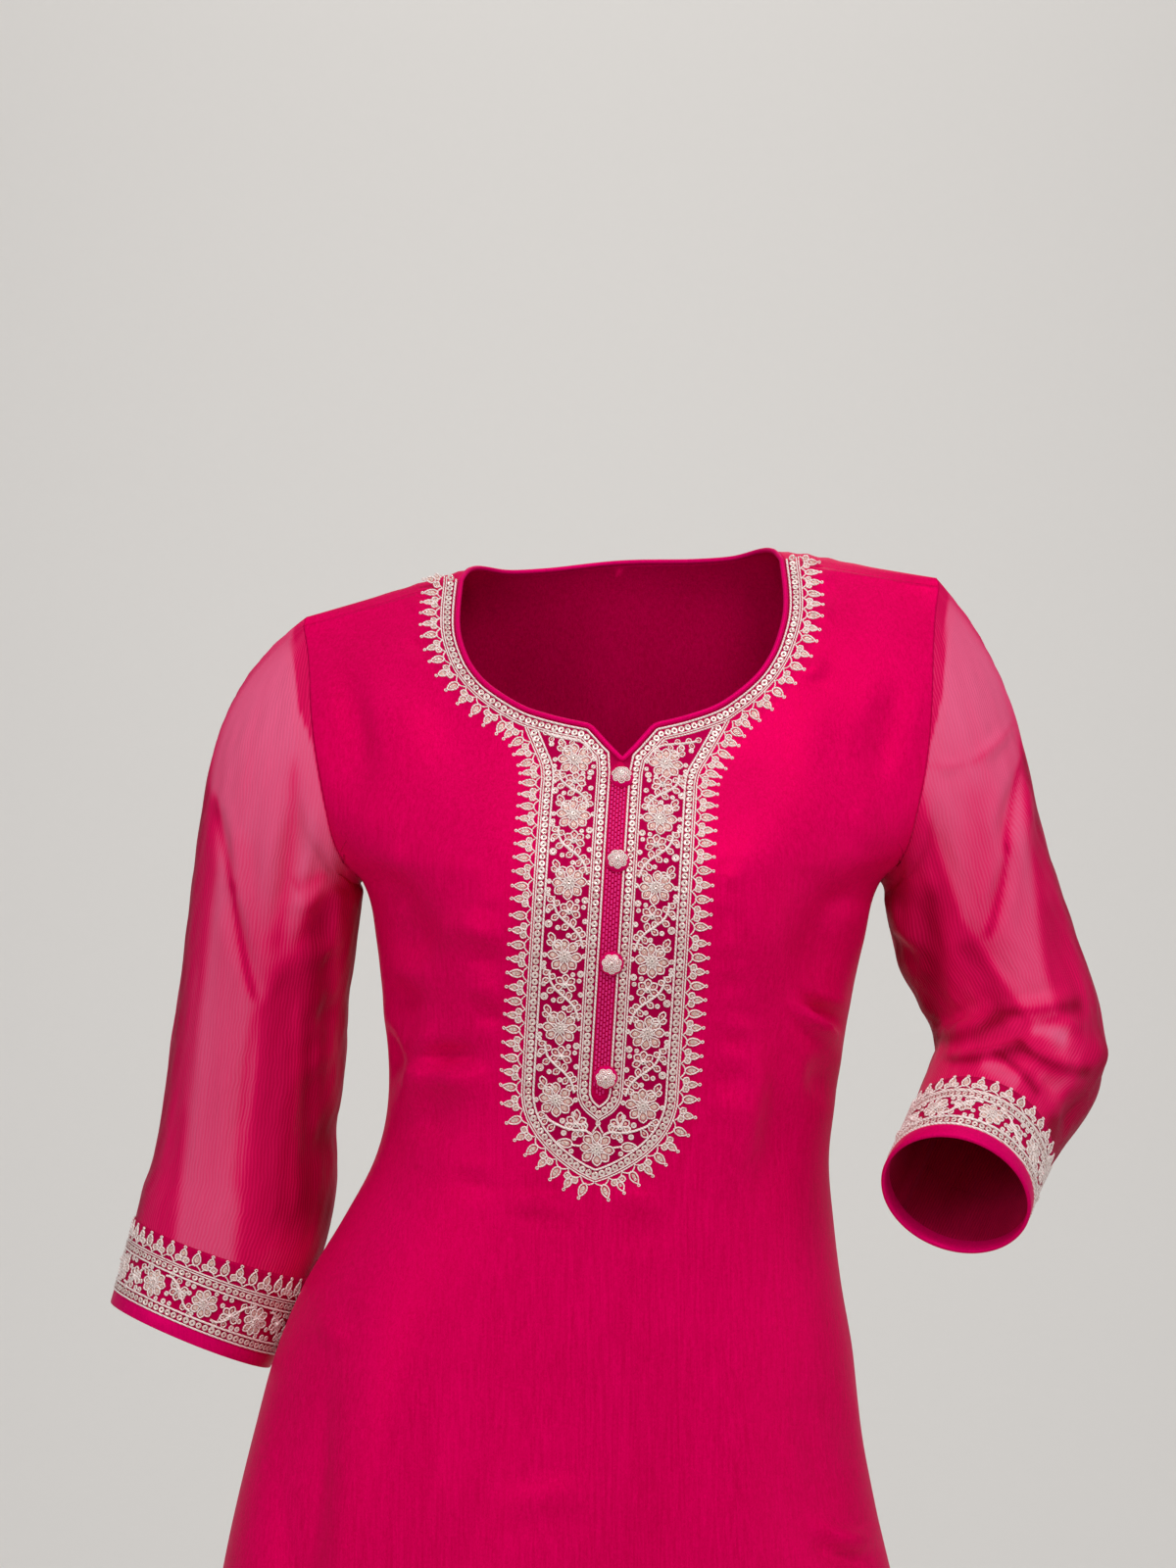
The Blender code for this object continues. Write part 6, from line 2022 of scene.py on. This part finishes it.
class SUIT_OT_kameez(bpy.types.Operator):
    """Sew the front and back of the kameez and pipe its neckline"""

    bl_idname = "suit.kameez"
    bl_label = "Kameez body"

    def execute(self, context):
        build_panels()
        build_piping()
        return {"FINISHED"}


class SUIT_OT_embroidery(bpy.types.Operator):
    """Embroider the neck, stitch the placket and sew on the buttons"""

    bl_idname = "suit.embroidery"
    bl_label = "Neck embroidery and buttons"

    def execute(self, context):
        build_neck_embroidery()
        return {"FINISHED"}


class SUIT_OT_sleeves(bpy.types.Operator):
    """Set in the sheer sleeves and their armhole facings"""

    bl_idname = "suit.sleeves"
    bl_label = "Sleeves"

    def execute(self, context):
        for arm in SIDES:
            build_sleeve(arm)
        return {"FINISHED"}


class SUIT_OT_cuffs(bpy.types.Operator):
    """Embroider and hem the cuffs"""

    bl_idname = "suit.cuffs"
    bl_label = "Cuffs"

    def execute(self, context):
        for arm in SIDES:
            build_cuff(arm)
        return {"FINISHED"}


class SUIT_OT_salwar(bpy.types.Operator):
    """Sew the salwar: waistband, belt, legs and ponchas"""

    bl_idname = "suit.salwar"
    bl_label = "Salwar"

    def execute(self, context):
        build_waist()
        for arm in SIDES:
            build_leg(arm)
        return {"FINISHED"}


OPERATORS = (
    SUIT_OT_stage,
    SUIT_OT_kameez,
    SUIT_OT_embroidery,
    SUIT_OT_sleeves,
    SUIT_OT_cuffs,
    SUIT_OT_salwar,
)


class SUIT_PT_panel(bpy.types.Panel):
    """Settings and steps of the suit"""

    bl_idname = "SUIT_PT_panel"
    bl_label = "Salwar kameez suit"
    bl_space_type = "VIEW_3D"
    bl_region_type = "UI"
    bl_category = "Suit"

    def draw(self, context):
        layout, scene = self.layout, context.scene
        for group in (scene.suit_sizes, scene.suit_colours, scene.suit_stage):
            box = layout.box()
            for key in group.__annotations__:
                box.prop(group, key)
        for operator in OPERATORS:
            layout.operator(operator.bl_idname)


CLASSES = (SuitSizes, SuitColours, StageSettings, *OPERATORS, SUIT_PT_panel)


def register():
    for item in CLASSES:
        bpy.utils.register_class(item)
    bpy.types.Scene.suit_sizes = bpy.props.PointerProperty(type=SuitSizes)
    bpy.types.Scene.suit_colours = bpy.props.PointerProperty(type=SuitColours)
    bpy.types.Scene.suit_stage = bpy.props.PointerProperty(type=StageSettings)


def unregister():
    for name in ("suit_sizes", "suit_colours", "suit_stage"):
        delattr(bpy.types.Scene, name)
    for item in reversed(CLASSES):
        bpy.utils.unregister_class(item)


def main():
    register()
    for operator in OPERATORS:
        group, name = operator.bl_idname.split(".")
        getattr(getattr(bpy.ops, group), name)()


if __name__ == "__main__":
    main()
